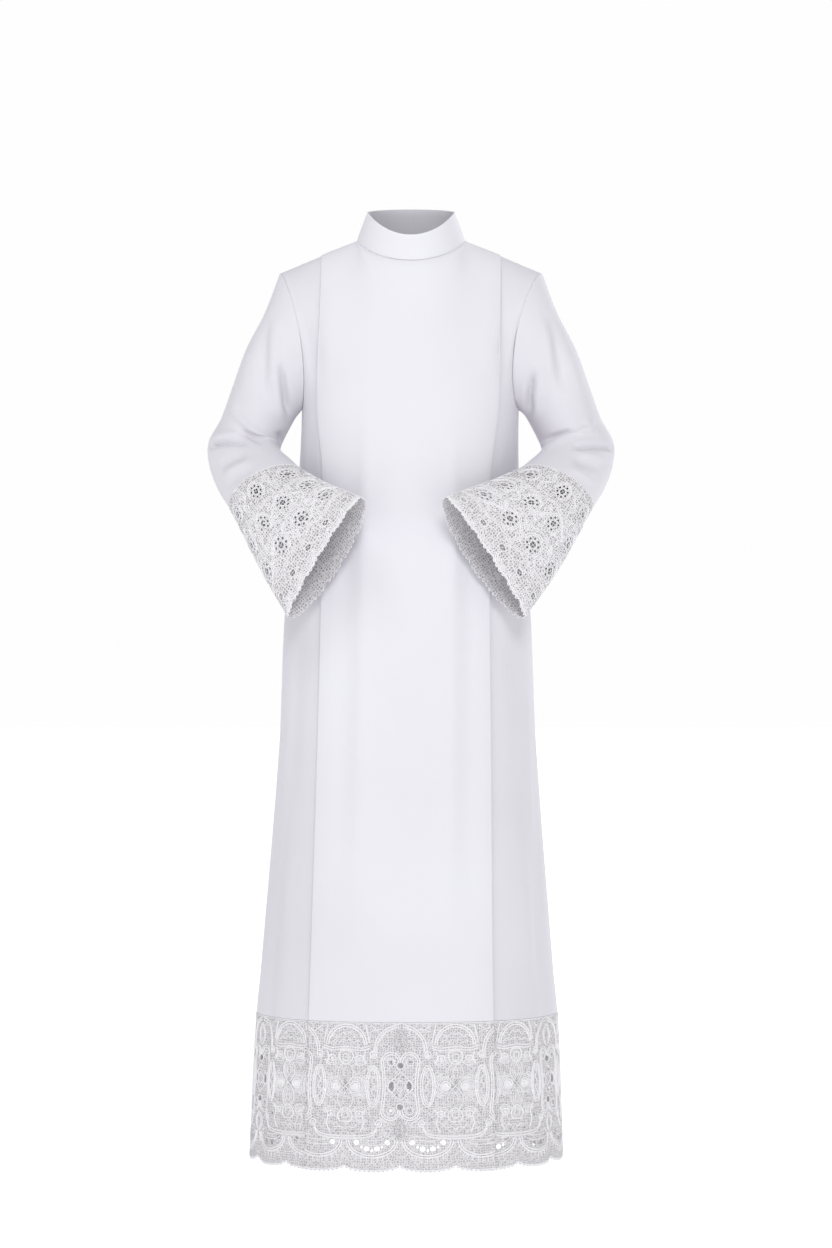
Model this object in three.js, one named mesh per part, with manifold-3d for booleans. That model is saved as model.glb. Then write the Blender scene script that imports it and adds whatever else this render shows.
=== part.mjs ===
// An alb worn with the forearms held in front: stand collar, a centre panel between two
// long knife pleats, set-in sleeves that open into lace bells, and a deep lace band at the hem.
// Millimetres. +Z up, +X towards the wearer's left, -Y towards the front.
// The origin is at the side neck points' level, between them, where the shoulders carry it.
import * as THREE from "three";
import { mergeVertices } from "three/addons/utils/BufferGeometryUtils.js";
import Module from "manifold-3d";

const wasm = await Module();
wasm.setup();

// Walls and seams
const wall = { cloth: 1.4, collar: 2.2, lace: 1.2 };
const seam = 0.2; // each piece stops this far short of the seam line
const setIn = { collar: 1.5, sleeve: 2.1 }; // how far these stand off the edge that they are sewn to

// Heights
const underarm = -250;
const laceTop = -1152;
const hemLow = -1368;

// Body sections from the shoulders down: half width, sideways shift, depth in front and behind,
// half width of the centre panel, and the panel's drift to the wearer's right.
const body = [
  { z: 10, half: 170, shift: 0, front: 88, back: 74, panel: 133, drift: 0 },
  { z: -60, half: 168, shift: 0, front: 98, back: 88, panel: 133, drift: -1 },
  { z: -140, half: 164, shift: 0, front: 113, back: 99, panel: 134, drift: -3 },
  { z: -250, half: 162, shift: -1, front: 126, back: 106, panel: 134, drift: -5 },
  { z: -350, half: 165, shift: -3, front: 130, back: 110, panel: 124, drift: -6.5 },
  { z: -560, half: 184, shift: -5, front: 140, back: 128, panel: 124, drift: -8.5 },
  { z: -750, half: 192, shift: -5, front: 154, back: 147, panel: 127, drift: -10 },
  { z: -1090, half: 219, shift: -6, front: 184, back: 180, panel: 133, drift: -14 },
  { z: -1152, half: 225, shift: -6, front: 190, back: 187, panel: 134.5, drift: -14.5 },
  { z: -1370, half: 234.5, shift: -7, front: 212, back: 210, panel: 138.5, drift: -16.5 },
];
const squareness = 2.3; // exponent of the sections: 2 is an ellipse

// Neck seam and collar: half width and how far the rim lies forward and back, with its heights
const neckSeam = { half: 80, front: 72, back: 62, side: 3, fall: 35, rise: 11, bend: 1.3 };
const collarTop = { half: 64, front: 63, back: 49, side: 46, fall: 39, rise: 9, bend: 1.6 };

// Shoulder seam and armhole. The armhole is cut in from the side before and behind the arm.
const shoulder = { tip: 195, drop: 46 };
const armhole = { inner: 162, front: 54, back: 58, hollow: 2.2, cutIn: 10, sway: -4 };

// Knife pleats of the front: depth of the fold, the distance from one layer to the next, the same
// where the seam presses the layers together at the shoulder, and where the panel lifts over them
const pleat = { depth: 28, layer: 3.2, pressed: 2, liftFrom: 0.6 };

// Sleeve sections from the armhole to the mouth, for the left sleeve: the outer point, the inner
// point, and how far the ring bulges forward and back from the line between them.
const sleeve = [
  { outer: [219, 1, -106], inner: [169, 0, -256], front: 55, back: 56 },
  { outer: [246, 3, -158], inner: [175, 2, -264], front: 54, back: 55 },
  { outer: [266, 6, -212], inner: [181, 4, -275], front: 53, back: 54 },
  { outer: [284, 10, -262], inner: [189, 4, -290], front: 52, back: 52 },
  { outer: [303, 14, -303], inner: [197, -4, -307], front: 52, back: 50 },
  { outer: [299, 8, -340], inner: [191, -30, -317], front: 52, back: 46 },
  { outer: [284, -14, -376], inner: [178, -58, -328], front: 50, back: 40 },
  { outer: [264, -42, -406], inner: [163, -90, -341], front: 46, back: 35 },
];
const cuff = [
  { outer: [246, -62, -438], inner: [141, -122, -353], front: 41, back: 34 },
  { outer: [228, -85, -473], inner: [119, -150, -364], front: 34, back: 36 },
  { outer: [204, -112, -515], inner: [92, -178, -375], front: 24, back: 38 },
  { outer: [172, -142, -563], inner: [61, -207, -388], front: 13, back: 40 },
];

// Both cuffs drift to the wearer's right, from one depth in front of the body to another
const handDrift = { from: -60, to: -200, across: -10.7 };

// Lace: the repeat along the band, scallops at the edges, and the holes that are cut through
const lace = { repeat: 162, scallops: 2, hemDepth: 9, cuffScallops: 6, cuffDepth: 4 };
const hemHoles = [
  { at: 0, down: 62, wide: 9, high: 8 },
  { at: -13, down: 92, wide: 7, high: 14 },
  { at: 13, down: 92, wide: 7, high: 14 },
  { at: 0, down: 122, wide: 9, high: 8 },
  { at: 81, down: 92, wide: 7, high: 15 },
  { at: 18, down: 173, wide: 8, high: 7 },
  { at: 33, down: 182, wide: 9, high: 7 },
  { at: 48, down: 182, wide: 9, high: 7 },
  { at: 63, down: 173, wide: 8, high: 7 },
  { at: 99, down: 173, wide: 8, high: 7 },
  { at: 114, down: 182, wide: 9, high: 7 },
  { at: 129, down: 182, wide: 9, high: 7 },
  { at: 144, down: 173, wide: 8, high: 7 },
];
const cuffHoles = [
  { down: 0.16, count: 3, wide: 9, high: 9 },
  { down: 0.42, count: 4, wide: 9, high: 9 },
  { down: 0.66, count: 4, wide: 9, high: 9 },
  { down: 0.87, count: 5, wide: 9, high: 7 },
];

// Rows of the cloth: from 1 at the shoulder seam to 0 at the underarm, which also place the
// sleeves' columns round the armhole, and heights from there to the lace
const upperLevels = [1, 0.98, 0.93, 0.85, 0.75, 0.63, 0.5, 0.37, 0.24, 0.12, 0];
const lowerHeights = [-330, -420, -540, -680, -840, -1000, laceTop + seam];
const bodyLevels = [...upperLevels, ...lowerHeights.map((z) => z - underarm)];

// How many steps the columns of each piece take
const steps = {
  neck: 5, shoulder: 2, side: 6, back: 5, collar: 40, cuff: 18,
  lacePanel: 11, laceSide: 13, laceBack: 9, laceBackSide: 12,
};
const foldParts = [0.25, 0.5, 0.75]; // columns round a fold, as parts of its half turn
const collarBulge = 2.5; // the collar's band is bowed out by a quarter of this halfway up

// The lace band: its row above the scallops, the least distance from a hole to its ends, and how
// far beside and under a pleat's folds no hole is cut, in millimetres and in a column's share
const band = { lowRow: 30, holeMargin: 8, foldMargin: 10, foldReach: 1.06 };
const cutterBar = { length: 6, sides: 4 };

// Short steps that give a surface's directions: in columns' shares, in levels above the underarm,
// in millimetres below it, and down the two kinds of lace
const probe = { across: 0.01, level: 0.01, height: 2, hem: 5, cuff: 0.02 };
const weld = 1e-4; // points closer than this are one

const colour = { cloth: "#f3f2f6", collar: "#f5f4f8", lace: "#eceaf0" };
const roughness = { cloth: 0.75, collar: 0.7, lace: 0.85 };

// Value of a named column of a table at a height, on a smooth curve through its rows
function column(rows, name, z) {
  const last = rows.length - 1;
  const at = Math.min(Math.max(z, rows[last].z), rows[0].z);
  let i = 0;
  while (i < last - 1 && rows[i + 1].z > at) i += 1;
  const slope = (k) => {
    const a = rows[Math.max(k - 1, 0)];
    const b = rows[Math.min(k + 1, last)];
    return (b[name] - a[name]) / (b.z - a.z);
  };
  const span = rows[i + 1].z - rows[i].z;
  const t = (at - rows[i].z) / span;
  const t2 = t * t;
  const t3 = t2 * t;
  return (
    (2 * t3 - 3 * t2 + 1) * rows[i][name] +
    (t3 - 2 * t2 + t) * span * slope(i) +
    (3 * t2 - 2 * t3) * rows[i + 1][name] +
    (t3 - t2) * span * slope(i + 1)
  );
}

// Point of the neck seam or the collar's rim. turn is 0 at the centre front or back, and a
// quarter turn at the side neck point. facing is -1 in front and 1 behind.
function rimPoint(rim, facing, side, turn) {
  const c = Math.max(Math.cos(turn), 0);
  const y = facing < 0 ? -rim.front * c : rim.back * c;
  const z = facing < 0 ? rim.side - rim.fall * c ** rim.bend : rim.side + rim.rise * c;
  return new THREE.Vector3(side * rim.half * Math.sin(turn), y, z);
}

// Where a column of the body starts: on the neck seam or on the shoulder seam. across is 0 at the
// centre, 1 at the panel's edge and 2 at the shoulder's tip.
function topPoint(facing, side, across) {
  const edge = body[0].panel;
  const x = across <= 1 ? across * edge : edge + (across - 1) * (shoulder.tip - edge);
  if (x < neckSeam.half) return rimPoint(neckSeam, facing, side, Math.asin(x / neckSeam.half));
  const run = (x - neckSeam.half) / (shoulder.tip - neckSeam.half);
  const z = neckSeam.side - (shoulder.drop + neckSeam.side) * run;
  return new THREE.Vector3(side * x, 0, z);
}

// Armhole, from the shoulder's tip at turn 0 to the underarm at turn PI
function armholePoint(facing, side, turn) {
  const high = -shoulder.drop;
  const z = (high + underarm) / 2 + ((high - underarm) / 2) * Math.cos(turn);
  const up = (z - underarm) / (high - underarm);
  const round = Math.sin(turn);
  const flare = (shoulder.tip - armhole.inner) * up ** armhole.hollow;
  const x = armhole.inner + flare - armhole.cutIn * round;
  const bulge = facing < 0 ? armhole.front : armhole.back;
  const shift = column(body, "shift", underarm) * (1 - up) + armhole.sway * round;
  return new THREE.Vector3(side * x + shift, facing * bulge * round, z);
}

// Point of a horizontal section of the body, at 0 on the centre, 1 on the panel's edge and 2 on
// the side seam
function sectionPoint(facing, side, across, z) {
  const half = column(body, "half", z);
  const shift = column(body, "shift", z);
  const depth = column(body, facing < 0 ? "front" : "back", z);
  const panel = column(body, "panel", z);
  const drift = column(body, "drift", z);
  const power = 2 / squareness;
  const angleAt = (x) => Math.asin(Math.min(Math.abs(x - shift) / half, 1) ** (1 / power));
  if (across <= 1) {
    const x = drift + side * across * panel;
    return new THREE.Vector3(x, facing * depth * Math.cos(angleAt(x)) ** power, z);
  }
  const from = angleAt(drift + side * panel);
  const angle = Math.min(from + (Math.PI / 2 - from) * (across - 1), Math.PI / 2);
  const x = shift + side * half * Math.sin(angle) ** power;
  return new THREE.Vector3(x, facing * depth * Math.max(Math.cos(angle), 0) ** power, z);
}

// A column inside the panel's reach, above the underarm. up is 0 at the underarm's height and 1
// at the neck or shoulder seam, where the cloth rounds over the shoulder.
function risingPoint(facing, side, across, up) {
  const top = topPoint(facing, side, across);
  const z = underarm + (top.z - underarm) * up;
  const low = sectionPoint(facing, side, across, z);
  const turnIn = 1 - Math.sqrt(Math.max(1 - up * up, 0));
  return new THREE.Vector3(
    low.x + (top.x - low.x) * up * up,
    low.y + (top.y - low.y) * turnIn,
    z,
  );
}

// The body's surface. level runs from 1 at the shoulders to 0 at the underarm, and below that
// it is the height in millimetres under the underarm, as a negative number.
function bodyPoint(facing, side, across, level) {
  if (level <= 0) return sectionPoint(facing, side, across, underarm + level);
  if (across <= 1) return risingPoint(facing, side, across, level);
  const r = across - 1;
  const low = sectionPoint(facing, side, across, underarm);
  const high = topPoint(facing, side, across);
  const near = risingPoint(facing, side, 1, level);
  const far = armholePoint(facing, side, Math.PI * (1 - level));
  const corners = [
    [sectionPoint(facing, side, 1, underarm), (1 - r) * (1 - level)],
    [armholePoint(facing, side, Math.PI), r * (1 - level)],
    [topPoint(facing, side, 1), (1 - r) * level],
    [armholePoint(facing, side, 0), r * level],
  ];
  const p = low.multiplyScalar(1 - level).addScaledVector(high, level);
  p.addScaledVector(near, 1 - r).addScaledVector(far, r);
  corners.forEach(([corner, share]) => p.addScaledVector(corner, -share));
  return p;
}

// A point beside the body's surface: moved along it, away from the centre, and out from it
function bodyFrame(facing, side, across, level, along, out) {
  const across0 = Math.max(across - probe.across, 0);
  const across1 = Math.min(across + probe.across, 2);
  const step = level > 0 ? probe.level : probe.height;
  const level0 = Math.max(level - step, level > 0 ? 0 : level - step);
  const level1 = Math.min(level + step, level > 0 ? 1 : 0);
  const p = bodyPoint(facing, side, across, level);
  const away = bodyPoint(facing, side, across1, level).sub(
    bodyPoint(facing, side, across0, level),
  );
  const down = bodyPoint(facing, side, across, level0).sub(
    bodyPoint(facing, side, across, level1),
  );
  away.normalize();
  const normal = new THREE.Vector3().crossVectors(down.normalize(), away).normalize();
  normal.multiplyScalar(-side * facing);
  return p.addScaledVector(away, along).addScaledVector(normal, out);
}

// Places of columns from the centre to the panel's edge, with one at the side neck point
function neckShares(neckSteps, shoulderSteps) {
  const neck = neckSeam.half / body[0].panel;
  const shares = [];
  for (let i = 0; i < neckSteps; i += 1) {
    shares.push(neck * Math.sin(((i / neckSteps) * Math.PI) / 2));
  }
  for (let i = 0; i <= shoulderSteps; i += 1) {
    shares.push(neck + ((1 - neck) * i) / shoulderSteps);
  }
  return shares;
}

// Even places of columns from the centre to the panel's edge
function evenShares(steps) {
  return Array.from({ length: steps + 1 }, (_, i) => i / steps);
}

// Columns of one half of a plain panel, from its centre line to its side seam. under counts the
// pleat's layers down from the outer one, and lift says how far a column rises where they stack.
function plainColumns(shares, outer) {
  const list = shares.map((across) => ({ across }));
  for (let i = 1; i <= outer; i += 1) list.push({ across: 1 + i / outer });
  return list.map((c) => ({ ...c, along: 0, bow: 0, under: 0, lift: 0 }));
}

// Columns of one half of the pleated front: the panel, the fold back under it, and the side.
// bow is how far a column rounds a fold, in layers. outer marks the columns of the side front.
function pleatColumns(shares, sideSteps) {
  const list = shares.map((across) => {
    const lift = THREE.MathUtils.smoothstep(across, pleat.liftFrom, 1);
    return { across, along: 0, bow: 0, under: 0, lift };
  });
  const fold = (along, under, way) =>
    foldParts.forEach((part) => {
      const bow = (way * Math.sin(part * Math.PI)) / 2;
      const deep = under + (1 - Math.cos(part * Math.PI)) / 2;
      list.push({ across: 1, along, bow, under: deep, lift: 1 });
    });
  fold(0, 0, 1);
  [0, -pleat.depth].forEach((along) => {
    list.push({ across: 1, along, bow: 0, under: 1, lift: 1 });
  });
  fold(-pleat.depth, 1, -1);
  // the lowest layer, where a hidden seam joins the side front halfway along it
  const join = -pleat.depth / 2;
  [-pleat.depth, join - seam].forEach((along) => {
    list.push({ across: 1, along, bow: 0, under: 2, lift: 1 });
  });
  [join + seam, 0].forEach((along) => {
    list.push({ across: 1, along, bow: 0, under: 2, lift: 1, outer: true });
  });
  for (let i = 1; i <= sideSteps; i += 1) {
    const rest = 1 - i / sideSteps; // the side front rises to the panel's depth at the side seam
    list.push({ across: 2 - rest, along: 0, bow: 0, under: 2 * rest, lift: rest, outer: true });
  }
  return list;
}

// Both halves of a list of columns, from the wearer's right side seam to the left one
function bothSides(list) {
  const right = list.map((c) => ({ ...c, side: -1 })).reverse();
  const left = list.slice(1).map((c) => ({ ...c, side: 1 }));
  return [...right, ...left];
}

// Point of a column of cloth at a level, with its pleat layers
function clothPoint(facing, c, level) {
  const press = Math.max(level, 0) ** 2;
  const layer = THREE.MathUtils.lerp(pleat.layer, pleat.pressed, press);
  const stop = c.across === 2 ? -seam : 0;
  const along = c.along + c.bow * layer + stop;
  return bodyFrame(facing, c.side, c.across, level, along, (c.lift * press - c.under) * layer);
}

// A grid of points on the body for a list of columns and a list of levels. A level may be a
// function of the column's number. The outermost columns stop short of the side seams.
function bodyGrid(facing, columns, levels) {
  return levels.map((level) =>
    columns.map((c, i) => clothPoint(facing, c, typeof level === "function" ? level(i) : level)),
  );
}

// A closed wall of one thickness round a grid of points, its rows joined into a tube or not
function wallGeometry(grid, thickness, tube = false) {
  const rows = grid.length;
  const cols = grid[0].length;
  const pick = (r, c) => {
    const row = grid[Math.min(Math.max(r, 0), rows - 1)];
    return row[tube ? (c + cols) % cols : Math.min(Math.max(c, 0), cols - 1)];
  };
  const outer = [];
  const inner = [];
  for (let r = 0; r < rows; r += 1) {
    for (let c = 0; c < cols; c += 1) {
      const across = pick(r, c + 1).clone().sub(pick(r, c - 1));
      const down = pick(r + 1, c).clone().sub(pick(r - 1, c));
      const normal = across.cross(down).normalize();
      outer.push(grid[r][c].clone().addScaledVector(normal, -thickness / 2));
      inner.push(grid[r][c].clone().addScaledVector(normal, thickness / 2));
    }
  }
  const points = [...outer, ...inner];
  const shift = outer.length;
  const index = [];
  const quad = (a, b, c, d) => index.push(a, b, c, a, c, d);
  const id = (r, c) => r * cols + (c % cols);
  const spans = tube ? cols : cols - 1;
  for (let r = 0; r < rows - 1; r += 1) {
    for (let c = 0; c < spans; c += 1) {
      quad(id(r, c), id(r + 1, c), id(r + 1, c + 1), id(r, c + 1));
      quad(
        shift + id(r, c),
        shift + id(r, c + 1),
        shift + id(r + 1, c + 1),
        shift + id(r + 1, c),
      );
    }
  }
  for (let c = 0; c < spans; c += 1) {
    quad(id(0, c), id(0, c + 1), shift + id(0, c + 1), shift + id(0, c));
    const r = rows - 1;
    quad(id(r, c), shift + id(r, c), shift + id(r, c + 1), id(r, c + 1));
  }
  for (let r = 0; !tube && r < rows - 1; r += 1) {
    quad(id(r, 0), shift + id(r, 0), shift + id(r + 1, 0), id(r + 1, 0));
    const c = cols - 1;
    quad(id(r, c), id(r + 1, c), shift + id(r + 1, c), shift + id(r, c));
  }
  const geometry = new THREE.BufferGeometry().setFromPoints(points);
  geometry.setIndex(index);
  return geometry;
}

// A hole's cutter: a four-sided bar through the wall, its points up, down and to the sides
function holeCutter(centre, normal, sideways, wide, high) {
  const bar = new THREE.CylinderGeometry(1, 1, cutterBar.length, cutterBar.sides, 1).toNonIndexed();
  bar.deleteAttribute("normal");
  bar.deleteAttribute("uv");
  const y = normal.clone().normalize();
  const x = sideways.clone().addScaledVector(y, -sideways.dot(y)).normalize();
  const z = new THREE.Vector3().crossVectors(x, y);
  bar.applyMatrix4(
    new THREE.Matrix4()
      .makeBasis(x.multiplyScalar(wide / 2), y, z.multiplyScalar(high / 2))
      .setPosition(centre),
  );
  return bar;
}

function solidFrom(geometry) {
  const merged = mergeVertices(geometry, weld);
  return new wasm.Manifold(
    new wasm.Mesh({
      numProp: 3,
      vertProperties: merged.attributes.position.array,
      triVerts: new Uint32Array(merged.index.array),
    }),
  );
}

// Cuts every hole of a list out of a wall
function cutHoles(geometry, cutters) {
  let solid = solidFrom(geometry);
  cutters.forEach((cutter) => {
    solid = solid.subtract(solidFrom(cutter));
  });
  const { vertProperties, triVerts } = solid.getMesh();
  const cut = new THREE.BufferGeometry();
  cut.setAttribute("position", new THREE.BufferAttribute(vertProperties, 3));
  cut.setIndex(new THREE.BufferAttribute(triVerts, 1));
  return cut;
}

function pieceMesh(name, geometry, kind) {
  geometry.computeVertexNormals();
  const material = new THREE.MeshStandardMaterial({
    color: colour[kind],
    roughness: roughness[kind],
    metalness: 0,
  });
  const mesh = new THREE.Mesh(geometry, material);
  mesh.name = name;
  return mesh;
}

// Moves the first row of a grid off the seam above it
function startOffSeam(grid, gap) {
  grid[0].forEach((p, c) => {
    const way = grid[1][c].clone().sub(p).normalize();
    p.addScaledVector(way, gap);
  });
  return grid;
}

// The front: the panel with both pleats, or a side front that is sewn to it under the pleat
function makeFront(name, pick) {
  const columns = bothSides(pleatColumns(neckShares(steps.neck, steps.shoulder), steps.side)).filter(pick);
  const grid = startOffSeam(bodyGrid(-1, columns, bodyLevels), 3 * seam);
  return pieceMesh(name, wallGeometry(grid, wall.cloth), "cloth");
}

// One half of the back, from the centre back seam to the side seam
function makeBack(name, side) {
  const plain = plainColumns(neckShares(steps.neck, steps.shoulder), steps.back);
  const columns = plain.map((c) => ({ ...c, side }));
  columns[0].along = seam;
  if (side > 0) columns.reverse();
  const grid = startOffSeam(bodyGrid(1, columns, bodyLevels), seam);
  return pieceMesh(name, wallGeometry(grid, wall.cloth), "cloth");
}

function makeCollar() {
  const rows = [0, 0.5, 1];
  const turnOf = (i) => -Math.PI + (2 * Math.PI * i) / steps.collar; // 0 is the centre front
  const grid = rows.map((up) => {
    const row = [];
    for (let i = 0; i <= steps.collar; i += 1) {
      const turn = turnOf(i);
      const side = turn < 0 ? -1 : 1;
      const behind = Math.abs(turn) > Math.PI / 2;
      const bend = behind ? Math.PI - Math.abs(turn) : Math.abs(turn);
      const low = rimPoint(neckSeam, behind ? 1 : -1, side, bend);
      const high = rimPoint(collarTop, behind ? 1 : -1, side, bend);
      low.z += setIn.collar;
      const p = low.lerp(high, up);
      const bulge = collarBulge * up * (1 - up);
      p.x += side * bulge * Math.sin(bend);
      p.y += (behind ? 1 : -1) * bulge * Math.cos(bend);
      if (i === 0) p.x -= seam;
      if (i === steps.collar) p.x += seam;
      row.push(p);
    }
    return row;
  });
  grid.reverse();
  return pieceMesh("collar", wallGeometry(grid, wall.collar), "collar");
}

// Rings of a sleeve for one side, from the table's rows: centre, outer half, front half
function sleeveRings(side) {
  const rows = [...sleeve, ...cuff];
  const place = ([x, y, z]) => {
    const share = THREE.MathUtils.smoothstep(-y, -handDrift.from, -handDrift.to);
    return new THREE.Vector3(side * x + handDrift.across * share, y, z);
  };
  const rings = rows.map((row) => {
    const outer = place(row.outer);
    const inner = place(row.inner);
    return {
      centre: outer.clone().add(inner).multiplyScalar(0.5),
      reach: outer.clone().sub(inner).multiplyScalar(0.5),
      forward: row.front,
      back: row.back,
    };
  });
  rings.forEach((ring, i) => {
    const before = rings[Math.max(i - 1, 0)].centre;
    const after = rings[Math.min(i + 1, rings.length - 1)].centre;
    const path = after.clone().sub(before);
    ring.front = path.cross(ring.reach).normalize().multiplyScalar(side);
  });
  return rings;
}

// Point of a ring: turn 0 is the outer point, a quarter turn the front and half a turn the
// inner point
function ringPoint(ring, turn) {
  const s = Math.sin(turn);
  return ring.centre
    .clone()
    .addScaledVector(ring.reach, Math.cos(turn))
    .addScaledVector(ring.front, (s > 0 ? ring.forward : ring.back) * s);
}

function makeSleeve(name, side) {
  const half = upperLevels.map((level) => Math.PI * (1 - level));
  const behind = half.slice(1, -1).map((turn) => 2 * Math.PI - turn);
  const turns = [...half, ...behind.reverse()];
  const seamRing = turns.map((turn) => {
    const facing = turn <= Math.PI ? -1 : 1;
    const p = armholePoint(facing, side, turn <= Math.PI ? turn : 2 * Math.PI - turn);
    p.x += side * setIn.sleeve;
    return p;
  });
  const rings = sleeveRings(side).slice(0, sleeve.length);
  const grid = [seamRing, ...rings.map((ring) => turns.map((turn) => ringPoint(ring, turn)))];
  if (side < 0) grid.forEach((row) => row.reverse());
  return pieceMesh(name, wallGeometry(grid, wall.cloth, true), "cloth");
}

// Half of a cuff: the rings between the sleeve's last one and the mouth, with a scalloped edge.
// facing is -1 for the half in front and 1 for the half behind.
function makeCuff(name, side, facing) {
  const rings = sleeveRings(side).slice(sleeve.length - 1);
  const turnAt = (f) => (facing < 0 ? Math.PI * f : 2 * Math.PI - Math.PI * f);
  const grid = rings.map((ring, r) =>
    Array.from({ length: steps.cuff + 1 }, (_, i) => {
      const p = ringPoint(ring, turnAt(i / steps.cuff));
      const beside = ringPoint(ring, turnAt((i === 0 ? 1 : steps.cuff - 1) / steps.cuff));
      if (i === 0 || i === steps.cuff) {
        p.addScaledVector(beside.sub(p).normalize(), 2 * seam);
      }
      if (r === rings.length - 1) {
        const f = ((i / steps.cuff) * lace.cuffScallops) % 1;
        const back = ringPoint(rings[r - 1], turnAt(i / steps.cuff)).sub(p).normalize();
        p.addScaledVector(back, lace.cuffDepth * (1 - Math.sqrt(1 - (2 * f - 1) ** 2)));
      }
      return p;
    }),
  );
  grid[0].forEach((p, c) => {
    p.addScaledVector(grid[1][c].clone().sub(p).normalize(), 2 * seam);
  });
  const cutters = cuffCutters(grid);
  if (side * facing > 0) grid.forEach((row) => row.reverse());
  return pieceMesh(
    name,
    cutHoles(wallGeometry(grid, wall.lace), cutters),
    "lace",
  );
}

function cuffCutters(grid) {
  const span = grid.length - 1;
  const at = (down, across) => {
    const r = Math.min(Math.floor(down * span), span - 1);
    const c = Math.min(Math.floor(across * steps.cuff), steps.cuff - 1);
    const fr = down * span - r;
    const fc = across * steps.cuff - c;
    const upper = grid[r][c].clone().lerp(grid[r][c + 1], fc);
    const lower = grid[r + 1][c].clone().lerp(grid[r + 1][c + 1], fc);
    return upper.lerp(lower, fr);
  };
  const cutters = [];
  cuffHoles.forEach(({ down, count, wide, high }) => {
    for (let i = 0; i < count; i += 1) {
      const f = (i + 0.5) / count;
      const sideways = at(down, f + probe.across).sub(at(down, f - probe.across));
      const along = at(down + probe.cuff, f).sub(at(down - probe.cuff, f));
      const normal = sideways.clone().cross(along);
      cutters.push(holeCutter(at(down, f), normal, sideways, wide, high));
    }
  });
  return cutters;
}

// Distance along a row of a grid from its first column to each column
function runLengths(row) {
  const lengths = [0];
  for (let i = 1; i < row.length; i += 1) {
    lengths.push(lengths[i - 1] + row[i].distanceTo(row[i - 1]));
  }
  return lengths;
}

// A band of hem lace. start is how far along the pattern its first column lies.
function makeHemLace(name, facing, columns, start) {
  const top = laceTop - seam - underarm;
  const middle = (laceTop + hemLow) / 2 - underarm;
  const low = hemLow - underarm;
  const lengths = runLengths(bodyGrid(facing, columns, [middle])[0]);
  const scallop = lace.repeat / lace.scallops;
  const edge = (i) => {
    const f = (((start + lengths[i]) / scallop) % 1 + 1) % 1;
    return low + lace.hemDepth * (1 - Math.sqrt(1 - (2 * f - 1) ** 2));
  };
  const grid = bodyGrid(facing, columns, [top, middle, low + band.lowRow, edge]);
  const cutters = hemCutters(facing, columns, lengths, start, top);
  return pieceMesh(
    name,
    cutHoles(wallGeometry(grid, wall.lace), cutters),
    "lace",
  );
}

// Cutters of a band's holes. None is cut where one layer of a pleat lies on another.
function hemCutters(facing, columns, lengths, start, top) {
  const cutters = [];
  const total = lengths[lengths.length - 1];
  const first = Math.floor(start / lace.repeat) - 1;
  const last = Math.ceil((start + total) / lace.repeat) + 1;
  for (let n = first; n <= last; n += 1) {
    hemHoles.forEach(({ at, down, wide, high }) => {
      const s = n * lace.repeat + at - start;
      if (s < band.holeMargin || s > total - band.holeMargin) return;
      const i = lengths.findIndex((length) => length > s) - 1;
      const f = (s - lengths[i]) / (lengths[i + 1] - lengths[i]);
      const level = top - down;
      const on = (k, z) => clothPoint(facing, columns[k], z);
      const a = on(i, level);
      const b = on(i + 1, level);
      const centre = a.clone().lerp(b, f);
      if (columns[i].layered && columns[i + 1].layered) return;
      const below = on(i, level - probe.hem).lerp(on(i + 1, level - probe.hem), f);
      const sideways = b.sub(a);
      const normal = sideways.clone().cross(below.sub(centre));
      cutters.push(holeCutter(centre, normal, sideways, wide, high));
    });
  }
  return cutters;
}

// Marks the columns that lie on or under another layer of the pleat, with a margin for the holes
function markLayers(columns) {
  const edge = 1 - (pleat.depth + band.foldMargin) / column(body, "panel", laceTop);
  columns.forEach((c) => {
    const onPanel = c.under === 0 && c.across >= edge - 1 / steps.lacePanel && c.across <= 1;
    const underPanel = c.under > 0 && c.across <= band.foldReach;
    c.layered = onPanel || underPanel;
  });
  return columns;
}

const frontLace = markLayers(bothSides(pleatColumns(evenShares(steps.lacePanel), steps.laceSide)));
const backLace = bothSides(plainColumns(evenShares(steps.laceBack), steps.laceBackSide)).reverse();
const laceLevel = (laceTop + hemLow) / 2 - underarm;
const frontRun = runLengths(bodyGrid(-1, frontLace, [laceLevel])[0]).at(-1);

const alb = new THREE.Group();
alb.add(
  makeCollar(),
  makeFront("front", (c) => !c.outer),
  makeFront("side_front_left", (c) => c.outer && c.side > 0),
  makeFront("side_front_right", (c) => c.outer && c.side < 0),
  makeBack("back_left", 1),
  makeBack("back_right", -1),
  makeSleeve("sleeve_left", 1),
  makeSleeve("sleeve_right", -1),
  makeHemLace("hem_lace_front", -1, frontLace, -frontRun / 2),
  makeHemLace("hem_lace_back", 1, backLace, frontRun / 2),
  makeCuff("cuff_lace_left_front", 1, -1),
  makeCuff("cuff_lace_left_back", 1, 1),
  makeCuff("cuff_lace_right_front", -1, -1),
  makeCuff("cuff_lace_right_back", -1, 1),
);

export default alb;
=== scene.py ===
import math

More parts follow.
